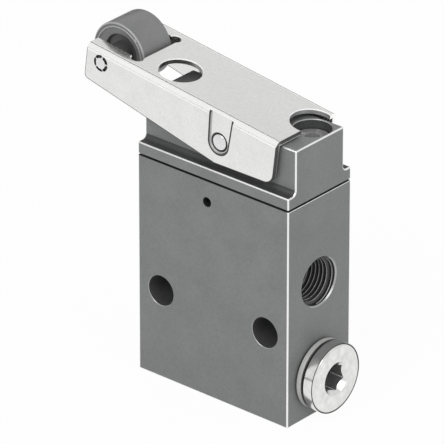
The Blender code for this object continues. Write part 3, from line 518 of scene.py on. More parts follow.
def both_ends(half):
    """A turned profile from the half of it above the middle."""
    return half + [(radius, -height) for radius, height in reversed(half)]


def prism(name, outline, low, high, place, finish=None, far_outline=None):
    """A closed outline of (x, y) points run between two heights, where it may change to a second outline."""
    shape = bmesh.new()
    near = [shape.verts.new((x, y, low)) for x, y in outline]
    far = [shape.verts.new((x, y, high)) for x, y in far_outline or outline]
    shape.faces.new(near)
    shape.faces.new(far)
    for number, start in enumerate(near):
        shape.faces.new((start, near[number - 1], far[number - 1], far[number]))
    return object_of(name, mesh_of(name, shape), place, finish)


def block(name, size, place, finish=None):
    """A block round its place."""
    shape = bmesh.new()
    bmesh.ops.create_cube(shape, size=1, matrix=Matrix.Diagonal((*size, 1)))
    return object_of(name, mesh_of(name, shape), place, finish)


def arc(centre, radius, start, end, steps=ARC_STEPS):
    """Points along an arc, from one angle to the other in radians."""
    angles = [start + (end - start) * step / steps for step in range(steps + 1)]
    return [(centre[0] + radius * math.cos(angle), centre[1] + radius * math.sin(angle)) for angle in angles]


def rounded(points):
    """An outline through (x, y, radius) corners, each rounded by an arc that touches both of its sides."""
    outline = []
    for number, (x, y, radius) in enumerate(points):
        corner = Vector((x, y))
        before = (Vector(points[number - 1][:2]) - corner).normalized()
        after = (Vector(points[(number + 1) % len(points)][:2]) - corner).normalized()
        if not radius:
            outline.append((x, y))
            continue
        half = before.angle(after) / 2
        centre = corner + (before + after).normalized() * radius / math.sin(half)
        start = corner + before * radius / math.tan(half) - centre
        end = corner + after * radius / math.tan(half) - centre
        sweep = start.angle_signed(end)
        for step in range(ARC_STEPS + 1):
            outline.append(tuple(centre + Matrix.Rotation(-sweep * step / ARC_STEPS, 2) @ start))
    return outline


def hexagon(width):
    """Corners of a hexagon that is measured across its flats."""
    corner = width / math.sqrt(3)
    angles = [step * math.pi / 3 for step in range(6)]
    return [(corner * math.cos(angle), corner * math.sin(angle)) for angle in angles]


def stands_for(piece, node, body):
    """Lets a piece ride on a body in place of a node, which is hidden."""
    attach(piece, body)
    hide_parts(node)
    return piece


# Places that several pieces share
head_bottom = BODY_HEIGHT + SEAM
head_top = head_bottom + HEAD_HEIGHT
front = -BODY_DEPTH / 2
right_end = BODY_WIDTH / 2
screw_x = right_end - SCREW_INSET
screws = {"head_screw_left": (-screw_x, -SCREW_Y), "head_screw_right": (screw_x, SCREW_Y)}
screw_seat = head_top - SCREW_HEAD_DEPTH - SCREW_HEAD_HEIGHT
screw_hole = SCREW_RADIUS + FIT
port_floor = right_end - PORT_DEPTH

# Ported block
body = block("ported_block", (BODY_WIDTH, BODY_DEPTH, BODY_HEIGHT), at(0, 0, BODY_HEIGHT / 2), ANODISED)
body.data.materials.append(RUBBER)
half_height = BODY_HEIGHT / 2
second_finish(body, lambda face: face.center.z > half_height - MERGE)
# Rounded edges are bare metal and partly a painted highlight. Of the top edges only the right end's is
# rounded, a painted highlight line under the seam
round_edges(body, EDGE_RADIUS, BARE_HIGHLIGHT_EDGE, wanted=lambda middle: middle.z < half_height - MERGE)
round_edges(body, SEAM_EDGE_RADIUS, BARE_HIGHLIGHT_EDGE, wanted=lambda middle: middle.x > right_end - EDGE_RADIUS)
bore = [(0, BODY_HEIGHT + OVERRUN), (PISTON_BORE_RADIUS, BODY_HEIGHT + OVERRUN)]
bore += [(PISTON_BORE_RADIUS, CHAMBER_FLOOR_Z), (VALVE_BORE_RADIUS, CHAMBER_FLOOR_Z)]
bore += [(VALVE_BORE_RADIUS, BORE_FLOOR_Z), (0, BORE_FLOOR_Z)]
cut(body, turned("bore", bore, at(0, 0, 0)), BARE_BORE)
# The recess under the head is painted shade
half_recess = (BODY_WIDTH / 2 - RECESS_INSET, BODY_DEPTH / 2 - RECESS_INSET)
corners = [(half_recess[0], half_recess[1], RECESS_CORNER), (-half_recess[0], half_recess[1], RECESS_CORNER)]
recess = rounded(corners + [(-x, -y, radius) for x, y, radius in corners])
recess_bottom = BODY_HEIGHT - RECESS_DEPTH
cut(body, prism("recess", recess, recess_bottom, BODY_HEIGHT + OVERRUN, at(0, 0, 0)), SHADED_BORE)

# Ports and their drills are painted shade inside
for side, turn, name in ((1, TO_X, "right"), (-1, TO_MINUS_X, "left")):
    for row, z, drill in (("lower", LOWER_PORT_Z, SUPPLY_DRILL_RADIUS), ("upper", UPPER_PORT_Z, 0)):
        mouth = at(side * right_end, 0, z, turn)
        wide = PORT_RADIUS + MOUTH_CHAMFER + OVERRUN
        profile = [(0, OVERRUN), (wide, OVERRUN), (PORT_RADIUS, -MOUTH_CHAMFER), (PORT_RADIUS, -PORT_DEPTH)]
        if drill:
            profile += [(drill, -PORT_DEPTH), (drill, -right_end), (0, -right_end)]
        else:
            profile += [(0, -PORT_DEPTH)]
        port = second_finish(turned(f"{name}_{row}_port", profile, mouth), beyond(PORT_RADIUS))
        cut(body, port, SHADED_BORE, PORT_MOUTH)
    start = port_floor + OVERRUN
    drill_place = at(side * start, 0, UPPER_PORT_Z - side * PORT_DRILL_OFFSET, turn)
    cut(body, rod(f"{name}_upper_drill", PORT_DRILL_RADIUS, -start, 0, drill_place), SHADED_BORE)

# The mounting holes are painted shade inside
hole_reach = BODY_DEPTH / 2
for side, name in ((-1, "left"), (1, "right")):
    centre = at(side * (right_end - MOUNTING_HOLE_INSET), 0, MOUNTING_HOLE_Z, TO_Y)
    wide = MOUNTING_HOLE_RADIUS + MOUNTING_HOLE_CHAMFER + OVERRUN
    half = [(0, hole_reach + OVERRUN), (wide, hole_reach + OVERRUN)]
    half += [(MOUNTING_HOLE_RADIUS, hole_reach - MOUNTING_HOLE_CHAMFER)]
    hole = turned(f"{name}_hole", both_ends(half), centre, steps=HOLE_STEPS)
    cut(body, second_finish(hole, beyond(MOUNTING_HOLE_RADIUS)), SHADED_DRILLED_BORE, HOLE_RIM)

# The vent is painted shade inside
vent_length = BODY_DEPTH / 2 - PISTON_BORE_RADIUS + OVERRUN
vent_place = at(VENT_X, front, BODY_HEIGHT - VENT_DROP, TO_MINUS_Y)
cut(body, rod("vent", VENT_RADIUS, -vent_length, OVERRUN, vent_place), SHADED_BORE)
for name, (x, y) in screws.items():
    tapped = rod(f"{name}_tapped", screw_hole, SCREW_END_Z - GAP, BODY_HEIGHT + OVERRUN, at(x, y, 0))
    cut(body, tapped, BARE_BORE)
stands_for(body, "valve_body", "housing")


def thread(name, place):
    """A helical ridge, set into the port's wall and faded out at both ends, with painted shade on its flanks
    and a painted highlight on its crests.
    """
    shape = bmesh.new()
    count = THREAD_TURNS * THREAD_STEPS
    rows = []
    for step in range(count + 1):
        angle = 2 * math.pi * step / THREAD_STEPS
        turns = step / THREAD_STEPS
        fade = min(1, turns / THREAD_RUN_IN, (THREAD_TURNS - turns) / THREAD_RUN_IN)
        crest = PORT_RADIUS - (PORT_RADIUS - THREAD_CREST_RADIUS) * fade
        depth = -THREAD_PITCH * (turns + THREAD_ROOT_SHARE) - MOUTH_CHAMFER
        root = PORT_RADIUS + FIT
        section = [(root, -THREAD_ROOT_SHARE), (crest, -THREAD_CREST_SHARE)]
        section += [(crest, THREAD_CREST_SHARE), (root, THREAD_ROOT_SHARE)]
        row = []
        for radius, share in section:
            spot = (radius * math.cos(angle), radius * math.sin(angle), depth + share * THREAD_PITCH)
            row.append(shape.verts.new(spot))
        rows.append(row)
    for row, following in zip(rows, rows[1:]):
        for number in range(len(row)):
            shape.faces.new((row[number - 1], row[number], following[number], following[number - 1]))
    shape.faces.new(rows[0])
    shape.faces.new(rows[-1])
    ridge = object_of(name, mesh_of(name, shape), place, SHADED_THREAD_FLANK)
    ridge.data.materials.append(LIT_THREAD_CREST)
    return settle(second_finish(ridge, upright))


for name, side, z, turn in (
    ("right_upper_thread", 1, UPPER_PORT_Z, TO_X),
    ("left_upper_thread", -1, UPPER_PORT_Z, TO_MINUS_X),
    ("left_lower_thread", -1, LOWER_PORT_Z, TO_MINUS_X),
):
    ridge = thread(name, at(side * right_end, 0, z, turn))
    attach(ridge, "housing")


# Actuator head
half_block = BODY_DEPTH / 2 - HEAD_SHELF


def head_outline():
    """The head's end view, as (y, z) points: one half from the top down, mirrored to the other side."""
    shelf = head_bottom + HEAD_FLANGE_HEIGHT
    fillet = arc((half_block + HEAD_FILLET, shelf + HEAD_FILLET), HEAD_FILLET, math.pi, 1.5 * math.pi)
    side = [(half_block, head_top), *fillet, (BODY_DEPTH / 2, shelf), (BODY_DEPTH / 2, head_bottom)]
    return side + [(-y, z) for y, z in reversed(side)]


head = prism("lever_head", head_outline(), -right_end, right_end, OUTLINE_IN_YZ, ANODISED)
head.data.materials.append(PAINTED_SHADE_SHELF)
# The shelves beside the narrower block, with their fillets, lie under the lever and are painted shade. The
# mesh has the head's y as its x.
for face in head.data.polygons:
    off_block = half_block + MERGE < abs(face.center.x) < BODY_DEPTH / 2 - MERGE
    face.material_index = int(off_block and abs(face.normal.z) < MERGE)
# All but the bottom edges get the bare rounding, partly a painted highlight
round_edges(head, EDGE_RADIUS, BARE_HIGHLIGHT_EDGE, wanted=lambda middle: middle.y > head_bottom + MERGE)
# The counterbores are painted shade inside
counterbore = SCREW_HEAD_RADIUS + FIT
for name, (x, y) in screws.items():
    wide = counterbore + COUNTERBORE_CHAMFER + OVERRUN
    profile = [(0, head_top + OVERRUN), (wide, head_top + OVERRUN)]
    profile += [(counterbore, head_top - COUNTERBORE_CHAMFER)]
    profile += [(counterbore, screw_seat - FIT), (screw_hole, screw_seat - FIT)]
    profile += [(screw_hole, head_bottom - OVERRUN), (0, head_bottom - OVERRUN)]
    bore = turned(f"{name}_counterbore", profile, at(x, y, 0))
    cut(head, second_finish(bore, beyond(counterbore)), SHADED_COUNTERBORE, HOLE_RIM)
# The pivot pin's hole is painted shade
pivot_hole = rod("pivot_hole", PIVOT_PIN_RADIUS + FIT, front, -front, at(PIVOT_X, 0, PIVOT_Z, TO_Y))
cut(head, pivot_hole, SHADED_BORE)
pocket_top = head_bottom + PILOT_POCKET_DEPTH
guide = STEM_RADIUS + FIT
seal_high = STEM_SEAL_Z + STEM_SEAL_POCKET_HALF
seal_low = STEM_SEAL_Z - STEM_SEAL_POCKET_HALF
bore = [(0, head_top + OVERRUN), (guide, head_top + OVERRUN), (guide, seal_high)]
bore += [(STEM_SEAL_POCKET_RADIUS, seal_high), (STEM_SEAL_POCKET_RADIUS, seal_low)]
bore += [(guide, seal_low), (guide, pocket_top), (PILOT_POCKET_RADIUS, pocket_top)]
bore += [(PILOT_POCKET_RADIUS, head_bottom - OVERRUN), (0, head_bottom - OVERRUN)]
cut(head, turned("stem_bore", bore, at(STEM_X, 0, 0)), BARE_BORE)
stands_for(head, "actuator_head", "housing")

# Head screws, whose sockets are paler than the screws: painted light
# The rims of the screws' heads are painted highlights
for name, (x, y) in screws.items():
    head_end = screw_seat + SCREW_HEAD_HEIGHT
    edge_centre = (SCREW_HEAD_RADIUS - SCREW_CHAMFER, head_end - SCREW_CHAMFER)
    edge = arc(edge_centre, SCREW_CHAMFER, math.pi / 2, 0, EDGE_STEPS)
    profile = [(0, head_end), *edge, (SCREW_HEAD_RADIUS, screw_seat)]
    profile += [(SCREW_RADIUS, screw_seat), (SCREW_RADIUS, SCREW_END_Z + SCREW_CHAMFER)]
    profile += [(SCREW_RADIUS - SCREW_CHAMFER, SCREW_END_Z), (0, SCREW_END_Z)]
    screw = turned(f"socket_{name}", profile, at(x, y, 0), PLATED_SCREW, steps=HOLE_STEPS)
    screw.data.materials.append(PAINTED_HIGHLIGHT_EDGE)
    second_finish(screw, lambda face: beyond(SCREW_HEAD_RADIUS - SCREW_CHAMFER)(face) and not upright(face))
    socket = hexagon(SCREW_SOCKET_WIDTH)
    floor_z = head_end - SCREW_SOCKET_DEPTH
    cut(screw, prism(f"{name}_socket", socket, floor_z, head_end + OVERRUN, at(x, y, 0)), LIT_SCREW_SOCKET)
    stands_for(screw, name, "housing")

# Lever
LEVER = Matrix.Translation((PIVOT_X, 0, PIVOT_Z)) @ Matrix.Rotation(LEVER_TILT, 4, "Y")
half_width = BODY_DEPTH / 2 - LEVER_INSET
inner_face = half_width - SHEET
tongue_face = half_width - TONGUE_STEP
line_floor = half_width - LINE_DEPTH
plate_bottom = PLATE_TOP - SHEET
plate_middle = PLATE_TOP - SHEET / 2


def along_lever(x, height):
    """Where a place on the head lies along the lever, at a height in the lever's frame."""
    return (x - PIVOT_X - height * math.sin(LEVER_TILT)) / math.cos(LEVER_TILT)


tip_x = -right_end - LEVER_OVERHANG
notch_x = along_lever(screw_x, plate_middle)
tail_x = notch_x + TAIL_PAST_NOTCH
roller_x = tip_x + ROLLER_SET_BACK
flange_low = KNEE_Z - OVERRUN


def channel_outline(skin=0):
    """The channel's section without a skin, as (y, z) points: down the outside, and back up the inside."""
    inner_bend = BEND_RADIUS - SHEET
    outer_centre = (half_width - BEND_RADIUS, PLATE_TOP - BEND_RADIUS)
    inner_centre = (inner_face - inner_bend, plate_bottom - inner_bend)
    outer_arc = arc(outer_centre, BEND_RADIUS - skin, math.pi / 2, 0)
    inner_arc = arc(inner_centre, inner_bend, 0, math.pi / 2)
    right = [*outer_arc, (half_width - skin, flange_low), (inner_face, flange_low), *inner_arc]
    return right + [(-y, z) for y, z in reversed(right)]


def lever_side(inset=0):
    """The lever's side view, or an outline a little inside it, as (x, z, corner radius) points."""
    high = PLATE_TOP + OVERRUN
    tip = tip_x + inset
    tail = tail_x - inset
    corners = [(tip, high, 0), (tail, high, 0), (tail, TAIL_FOOT_Z + inset, TAIL_CORNER)]
    corners += [(KNEE_X, KNEE_Z + inset, KNEE_CORNER), (tip, FLANGE_TIP_Z + inset, FLANGE_TIP_CORNER)]
    return rounded(corners)


def tongue_outline(half, top, side):
    """The tongue as it looks from outside, from its half width at the foot, where it is round, to its top."""
    foot_z = TONGUE_FOOT_Z + TONGUE_WIDTH / 2
    wide = half + TONGUE_FLARE
    points = [(-wide, top), *arc((0, foot_z), half, math.pi, 2 * math.pi, 2 * ARC_STEPS), (wide, top)]
    return [(x, -side * z) for x, z in points]


lever_section = LEVER @ OUTLINE_IN_YZ
lever_profile = LEVER @ OUTLINE_IN_XZ
lever = prism(
    "stamped_lever", channel_outline(), tip_x - OVERRUN, tail_x + OVERRUN, lever_section, NICKEL_SHEET,
)
# The bends take the pale, glossy copy of the sheet, a painted highlight
lever.data.materials.append(PAINTED_HIGHLIGHT_SHEET)
second_finish(lever, lambda face: min(abs(face.normal.x), abs(face.normal.y)) > MERGE)
# The cut edges take the darker copy of the sheet, painted shade
side_view = prism("side_view", lever_side(), -BODY_DEPTH, BODY_DEPTH, lever_profile)
combine(lever, side_view, "INTERSECT", CUT_EDGE)

# A painted highlight: a pale line along the inner side of the tail's edge
lined = (inner_face + EDGE_LINE, plate_bottom + EDGE_LINE)
corners = [(lined[0], flange_low, 0), (*lined, BEND_RADIUS - SHEET)]
tail_line = rounded(corners + [(-x, z, radius) for x, z, radius in reversed(corners)])
cut(lever, prism("tail_line", tail_line, tail_x - LINE_DEPTH, tail_x + OVERRUN, lever_section), PAINTED_HIGHLIGHT_EDGE)


def darken_margin(side, near, far, top):
    """Draws a painted shade line along a flange's edges: a step in the face between two distances from the
    middle.
    """
    low, high = sorted((-side * near, -side * far))
    place = lever_profile @ at(0, top - BODY_DEPTH / 2, (low + high) / 2)
    margin = block("margin", (2 * BODY_WIDTH, BODY_DEPTH, high - low), place, PAINTED_SHADE_LINE)
    core = prism("margin_core", lever_side(EDGE_LINE), low - OVERRUN, high + OVERRUN, lever_profile)
    cut(margin, core, PAINTED_SHADE_LINE)
    cut(lever, margin)


def set_in_tongue(side, name):
    """Presses a tongue inward: a boss behind the flange, a line of painted shade round the tongue, and a
    pocket.
    """
    outward = LEVER @ (TO_MINUS_Y if side < 0 else TO_Y)
    half = TONGUE_WIDTH / 2
    high_end = PLATE_TOP - TONGUE_TOP_DROP
    outline = tongue_outline(half, plate_bottom + SHEET / 2, side)
    boss = prism(f"{name}_boss", outline, inner_face - TONGUE_STEP, inner_face + SHEET / 2, outward)
    combine(lever, boss, "UNION", NICKEL_SHEET)
    outline = tongue_outline(half + TONGUE_SLOPE + TONGUE_LINE, high_end - 2 * LINE_DEPTH, side)
    line = prism(f"{name}_line", outline, inner_face, half_width + TONGUE_STEP, outward, PAINTED_SHADE_LINE)
    cut(line, prism("line_core", channel_outline(LINE_DEPTH), tip_x, tail_x, lever_section), PAINTED_SHADE_LINE)
    cut(lever, line)
    pocket = prism(
        f"{name}_pocket", tongue_outline(half - TONGUE_SLOPE, high_end, side), tongue_face,
        half_width + TONGUE_STEP, outward, far_outline=tongue_outline(half + TONGUE_SLOPE, high_end, side),
    )
    cut(lever, second_finish(pocket, lambda face: not level(face)), NICKEL_SHEET, SHADED_STEP_WALL)


# The tongues' pockets have walls of painted shade
for side, name in ((-1, "front"), (1, "rear")):
    darken_margin(side, line_floor, BODY_DEPTH, PLATE_TOP + OVERRUN)
    darken_margin(side, 0, inner_face + LINE_DEPTH, plate_bottom - BEND_RADIUS)
    set_in_tongue(side, name)

slot_half = ROLLER_SLOT_WIDTH / 2
slot_end = roller_x + ROLLER_RADIUS + ROLLER_SLOT_CLEARANCE
through = SHEET + 2 * OVERRUN
slot_centre = (tip_x - OVERRUN + slot_end) / 2
slot_size = (slot_end - tip_x + OVERRUN, ROLLER_SLOT_WIDTH, through)
cut(lever, block("roller_slot", slot_size, at(slot_centre, 0, plate_middle, frame_of=LEVER)), HOLE_WALL)
low = plate_middle - through / 2
relief_x = slot_end - RELIEF_RADIUS + RELIEF_SET_IN
access_x = along_lever(-screw_x, plate_middle) + ACCESS_HOLE_SHIFT
# Each opening's chamfer is a painted highlight
# The notch's wall is the paler copy of the holes' walls, painted light
for name, radius, x, y, wall in (
    ("front_relief", RELIEF_RADIUS, relief_x, RELIEF_SET_IN - slot_half, HOLE_WALL),
    ("rear_relief", RELIEF_RADIUS, relief_x, slot_half - RELIEF_SET_IN, HOLE_WALL),
    ("access_hole", ACCESS_HOLE_RADIUS, access_x, -SCREW_Y, HOLE_WALL),
    ("tail_notch", NOTCH_RADIUS, notch_x, SCREW_Y, LIT_NOTCH_WALL),
):
    profile = [(0, PLATE_TOP + OVERRUN), (radius + OPENING_CHAMFER + OVERRUN, PLATE_TOP + OVERRUN)]
    profile += [(radius, PLATE_TOP - OPENING_CHAMFER), (radius, low), (0, low)]
    opening = turned(name, profile, at(x, y, 0, frame_of=LEVER), steps=HOLE_STEPS)
    cut(lever, second_finish(opening, beyond(radius)), wall, PAINTED_HIGHLIGHT_EDGE)
reach = half_width + OVERRUN
roller_place = at(roller_x, 0, ROLLER_Z, TO_Y, LEVER)
pivot_place = LEVER @ TO_Y
sink = [(0, reach), (PIVOT_SINK_RADIUS, reach), (PIVOT_SINK_RADIUS, tongue_face)]
sink += [(PIVOT_PIN_RADIUS + PIN_CLEARANCE, tongue_face - PIVOT_SINK_DEPTH)]
# The pin holes are painted shade round the pins
cut(lever, turned("pivot_pin_hole", both_ends(sink), pivot_place, steps=HOLE_STEPS), SHADED_BORE)
cut(lever, rod("roller_pin_hole", ROLLER_PIN_RADIUS + PIN_CLEARANCE, -reach, reach, roller_place), SHADED_BORE)


def stake(piece, reach):
    """Punches broken rings of marks, painted shade inside, into both ends of a piece along the roller's pin.
    """
    for mark in range(STAKE_MARKS):
        start = 2 * math.pi * mark / STAKE_MARKS
        end = start + 2 * math.pi * STAKE_SHARE / STAKE_MARKS
        outline = arc((0, 0), STAKE_OUTER, start, end) + arc((0, 0), STAKE_INNER, end, start)
        for low, high in ((reach - STAKE_DEPTH, reach + OVERRUN), (-reach - OVERRUN, STAKE_DEPTH - reach)):
            cut(piece, prism("stake", outline, low, high, roller_place), SHADED_BORE)


stake(lever, half_width)
cut_edge = lever.data.materials.find(CUT_EDGE.name)
for face in lever.data.polygons:
    # Behind the notch the cut edge takes the pale copy, a painted highlight. The mesh has the lever's y as
    # its x.
    if face.material_index == cut_edge and face.center.x > SCREW_Y:
        face.material_index = lever.data.materials.find(PAINTED_HIGHLIGHT_SHEET.name)
stands_for(lever, "roller_lever", "lever")


# Pins
def pin(name, radius, reach, place):
    """A pin with rounded ends, which reaches as far to either side."""
    edge_centre = (radius - PIN_EDGE_RADIUS, reach - PIN_EDGE_RADIUS)
    edge = arc(edge_centre, PIN_EDGE_RADIUS, math.pi / 2, 0, EDGE_STEPS)
    return turned(name, both_ends([(0, reach), *edge]), place, STEEL, steps=HOLE_STEPS)


pivot_reach = tongue_face + PIN_STAND_OUT
stands_for(pin("hinge_pin", PIVOT_PIN_RADIUS, pivot_reach, pivot_place), "pivot_pin", "lever")
pin_reach = half_width + PIN_STAND_OUT
staked_pin = pin("staked_pin", ROLLER_PIN_RADIUS, pin_reach, roller_place)
stake(staked_pin, pin_reach)
stands_for(staked_pin, "roller_pin", "lever")


# Roller
def roller_profile():
    """The roller's closed section. It is worked out for one end, and turned over for the other."""
    rim = ROLLER_WIDTH / 2
    bore_radius = ROLLER_PIN_RADIUS + FIT
    hub_reach = slot_half - GAP
    edge_centre = (ROLLER_RADIUS - ROLLER_EDGE_RADIUS, rim - ROLLER_EDGE_RADIUS)
    groove = rim - ROLLER_BEAD_HALF
    band = rim - ROLLER_BAND_DEPTH
    end = arc(edge_centre, ROLLER_EDGE_RADIUS, 0, math.pi / 2, EDGE_STEPS)
    end += [(ROLLER_BEAD_RADIUS + 2 * ROLLER_BEAD_HALF, groove)]
    end += arc((ROLLER_BEAD_RADIUS, groove), ROLLER_BEAD_HALF, 0, math.pi, BEAD_STEPS)
    end += [(ROLLER_BEAD_RADIUS - ROLLER_BEAD_HALF, band), (ROLLER_BAND_INNER, band - ROLLER_BAND_SLOPE)]
    dish = rim - ROLLER_DISH
    end += [(ROLLER_BAND_INNER - ROLLER_DISH_SLOPE, dish), (ROLLER_HUB_RADIUS, dish)]
    far = [(radius, ROLLER_OFFSET - height) for radius, height in end]
    near = [(radius, ROLLER_OFFSET + height) for radius, height in reversed(end)]
    hub_near = [(bore_radius, hub_reach), (ROLLER_HUB_RADIUS, hub_reach)]
    hub_far = [(ROLLER_HUB_RADIUS, -hub_reach), (bore_radius, -hub_reach)]
    return hub_near + near + far + hub_far


def roller_finish(face):
    """The place of a face's finish in the roller's list: plain, shaded in the dish, or a painted glint on the
    rings.
    """
    radius = face.center.xy.length
    if radius < ROLLER_BAND_INNER:
        return 1
    on_bead = abs(radius - ROLLER_BEAD_RADIUS) < ROLLER_BEAD_HALF
    edge_share = (ROLLER_RADIUS - radius) / ROLLER_EDGE_RADIUS
    on_edge = ROLLER_GLINT_START_SHARE < edge_share < ROLLER_GLINT_END_SHARE
    return 2 if on_bead or on_edge else 0


# The roller is turned in the object's own frame, so that its box is as tight as it looks
level_place = at(*roller_place.translation, TO_Y)
roller = turned("lever_roller", roller_profile(), level_place, GREY_PLASTIC, ring=True)
for finish in (SHADED_PLASTIC, PAINTED_GLINT_PLASTIC):
    roller.data.materials.append(finish)
for face in roller.data.polygons:
    face.material_index = roller_finish(face)
stands_for(roller, "roller", "roller_body")

# Plug and its sealing ring
ring_end = FIT + SEALING_RING_THICKNESS
collar_start = ring_end + FIT
collar_end = collar_start + PLUG_COLLAR_THICKNESS
shank_radius = PORT_RADIUS - FIT
shank_end = collar_start - PLUG_SHANK_LENGTH
rim_radius = PLUG_COLLAR_RADIUS - PLUG_RIM
lip_centre = (rim_radius - PLUG_LIP, collar_end - PLUG_LIP_RADIUS)
lip = arc(lip_centre, PLUG_LIP_RADIUS, math.pi / 2, math.acos(PLUG_LIP / PLUG_LIP_RADIUS))
rim_z = lip[-1][1]
profile = [(0, collar_end), *lip]
profile += [(PLUG_COLLAR_RADIUS, rim_z), (PLUG_COLLAR_RADIUS, collar_start + PLUG_RIM)]
profile += [(rim_radius, collar_start), (shank_radius, collar_start)]
profile += [(shank_radius, shank_end), (0, shank_end)]
plug_place = at(right_end, 0, LOWER_PORT_Z, TO_X)
plug = turned("socket_plug", profile, plug_place, POLISHED)
# The collar's outer rims are painted shade lines
plug.data.materials.append(PAINTED_SHADE_LINE)
second_finish(plug, lambda face: beyond(rim_radius)(face) and not upright(face))
# The socket's walls and floor are painted shade
socket_place = plug_place @ Matrix.Rotation(PLUG_TURN, 4, "Z")
socket_floor = collar_end - PLUG_SOCKET_DEPTH
socket = prism("socket", hexagon(PLUG_SOCKET_WIDTH), socket_floor, collar_end + OVERRUN, socket_place)
cut(plug, second_finish(socket, level), SHADED_SOCKET_WALL, SHADED_BORE)
corner_radius = PLUG_SOCKET_WIDTH / math.sqrt(3)
# The socket's corners are painted highlight lines
round_edges(
    plug, SOCKET_CORNER_RADIUS, PAINTED_HIGHLIGHT_EDGE, segments=1,
    wanted=lambda middle: abs(middle.xy.length - corner_radius) < GAP and socket_floor < middle.z < rim_z,
)
mouth = corner_radius + PLUG_COUNTERSINK
sink = [(0, collar_end + OVERRUN), (mouth + OVERRUN, collar_end + OVERRUN)]
sink += [(mouth / 2, collar_end - mouth / 2), (0, collar_end - mouth / 2)]
cut(plug, turned("countersink", sink, plug_place), POLISHED)
stands_for(plug, "port_plug", "housing")

inner_edge = SEALING_RING_RADIUS - SEALING_RING_EDGE
profile = [(inner_edge, ring_end), (SEALING_RING_RADIUS, ring_end - SEALING_RING_EDGE)]
profile += [(SEALING_RING_RADIUS, FIT + SEALING_RING_EDGE), (inner_edge, FIT)]
profile += [(shank_radius + FIT, FIT), (shank_radius + FIT, ring_end)]
sealing_ring = turned("plug_washer", profile, plug_place, WASHER, ring=True)
# The ring's flat faces and chamfers are painted shade
sealing_ring.data.materials.append(PAINTED_SHADE_LINE)
second_finish(sealing_ring, lambda face: not upright(face))
stands_for(sealing_ring, "plug_sealing_ring", "housing")

# Springs, each with a mesh of its own. In the valve they shorten as the pieces above them go down.
for name, joint in (("pilot_spring", "stem_slide"), ("return_spring", "spindle_slide")):
    low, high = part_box(name)
    coil = object_of(f"{name}_coil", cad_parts[name].data.copy())
    coil.data.materials.clear()
    coil.data.materials.append(SPRING_STEEL)
    stands_for(coil, name, "housing")
    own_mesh(coil)

# Finishes of the inner pieces, which keep their solids
inner_finishes = {
    RUBBER: ("head_gasket", "stem_seal", "piston_seal", "upper_poppet_seal", "lower_poppet_seal",
             "upper_seat_oring", "lower_seat_oring", "guide_bush_seal"),
    BRASS: ("pilot_disc", "pilot_spring_seat", "lower_poppet", "upper_seat_ring", "lower_seat_ring",
            "cage_sleeve", "guide_bush"),
    STEEL: ("stem", "valve_spindle"),
    ALUMINIUM: ("piston",),
}
for finish, names in inner_finishes.items():
    for name in names:
        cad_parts[name].material_slots[0].material = finish


# Floor and surround
def seen_directly(tree, share):
    """The share where a ray comes from the camera or a reflection, and nothing elsewhere."""
    path = add(tree, "ShaderNodeLightPath")
    total = path.outputs["Is Camera Ray"]
    for name in ("Is Glossy Ray", "Is Transmission Ray"):
        total = reckoned(tree, "MAXIMUM", total, path.outputs[name])
    return reckoned(tree, "MULTIPLY", total, share)


def mixed(tree, lighting, shown, share, output):
    """Mixes a shader that lights with one that is shown, and gives the mix to an output node."""
    mix = add(tree, "ShaderNodeMixShader", Fac=seen_directly(tree, share))
    tree.links.new(lighting, mix.inputs[1])
    tree.links.new(shown, mix.inputs[2])
    tree.links.new(mix.outputs[0], tree.nodes[output].inputs["Surface"])


# The floor shows white and keeps the object's shadow
floor = block("floor", (FLOOR_SIZE, FLOOR_SIZE, GAP), at(0, 0, -GAP / 2))
floor_material = bpy.data.materials.new("floor")
floor_material.use_nodes = True
tree = floor_material.node_tree
tree.nodes.remove(tree.nodes["Principled BSDF"])
matt = add(tree, "ShaderNodeBsdfDiffuse", Color=FLOOR_COLOUR).outputs[0]
glow = add(tree, "ShaderNodeEmission", Color=WHITE, Strength=1.0).outputs[0]
mixed(tree, matt, glow, FLOOR_GLOW_SHARE, "Material Output")
floor.data.materials.append(floor_material)

# Soft studio light: a white surround that reflections see in full, and large lamps
world = bpy.data.worlds.new("studio")
bpy.context.scene.world = world
world.use_nodes = True
tree = world.node_tree
ambient = tree.nodes["Background"]
ambient.inputs["Color"].default_value = WHITE
ambient.inputs["Strength"].default_value = AMBIENT_STRENGTH
backdrop = add(tree, "ShaderNodeBackground", Color=BACKDROP, Strength=1.0).outputs[0]
mixed(tree, ambient.outputs[0], backdrop, 1, "World Output")


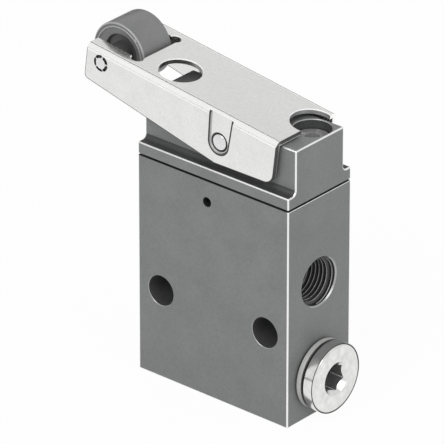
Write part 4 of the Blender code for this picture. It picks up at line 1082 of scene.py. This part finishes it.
def facing(azimuth, elevation, distance):
    """A place round the object from which -Z looks at it. The azimuth counts from the front to the right."""
    side = math.radians(azimuth)
    rise = math.radians(elevation)
    back = Vector((math.sin(side) * math.cos(rise), -math.cos(side) * math.cos(rise), math.sin(rise)))
    turn = back.to_track_quat("Z", "Y").to_matrix().to_4x4()
    return Matrix.Translation(CAMERA_TARGET + back * distance) @ turn


def lamp(name, azimuth, elevation, size, power):
    """A square area lamp that faces the object."""
    data = bpy.data.lights.new(name, "AREA")
    data.shape = "SQUARE"
    data.size = size
    data.energy = power
    obj = object_of(name, data, facing(azimuth, elevation, LAMP_DISTANCE))
    obj.visible_camera = False


lamp("key", azimuth=5, elevation=45, size=0.5, power=3)
lamp("fill", azimuth=80, elevation=30, size=0.6, power=1.8)

black_card = bpy.data.materials.new("black_card")
black_card.use_nodes = True
shader = black_card.node_tree.nodes["Principled BSDF"]
shader.inputs["Base Color"].default_value = FLAG_COLOUR
shader.inputs["Roughness"].default_value = 1
shader.inputs["Specular IOR Level"].default_value = 0


def flag(name, azimuth, elevation, width, height):
    """A dark card that only reflections see, facing the object, for the dark lines along bright metal."""
    card = block(name, (width, height, GAP), facing(azimuth, elevation, FLAG_DISTANCE), black_card)
    for ray in ("camera", "diffuse", "transmission", "shadow", "volume_scatter"):
        setattr(card, f"visible_{ray}", False)


# The first two draw the bend's two lines, and the last one stands behind the object for its far outlines
flag("upper_flag", azimuth=-130, elevation=57, width=0.6, height=0.09)
flag("lower_flag", azimuth=-42, elevation=-3, width=0.6, height=0.07)
flag("back_flag", azimuth=-139, elevation=4, width=0.6, height=0.24)

# Camera
camera = bpy.data.cameras.new("camera")
camera.sensor_width = SENSOR_WIDTH
camera.lens = CAMERA_SCALE * CAMERA_DISTANCE / PICTURE_SIZE * SENSOR_WIDTH
camera.clip_start = CAMERA_DISTANCE * CLIP_NEAR_SHARE
camera.clip_end = CAMERA_DISTANCE * CLIP_FAR_SHARE
camera_place = facing(CAMERA_AZIMUTH, CAMERA_ELEVATION, CAMERA_DISTANCE)
bpy.context.scene.camera = object_of("camera", camera, camera_place)
bpy.context.scene.view_settings.view_transform = "Standard"
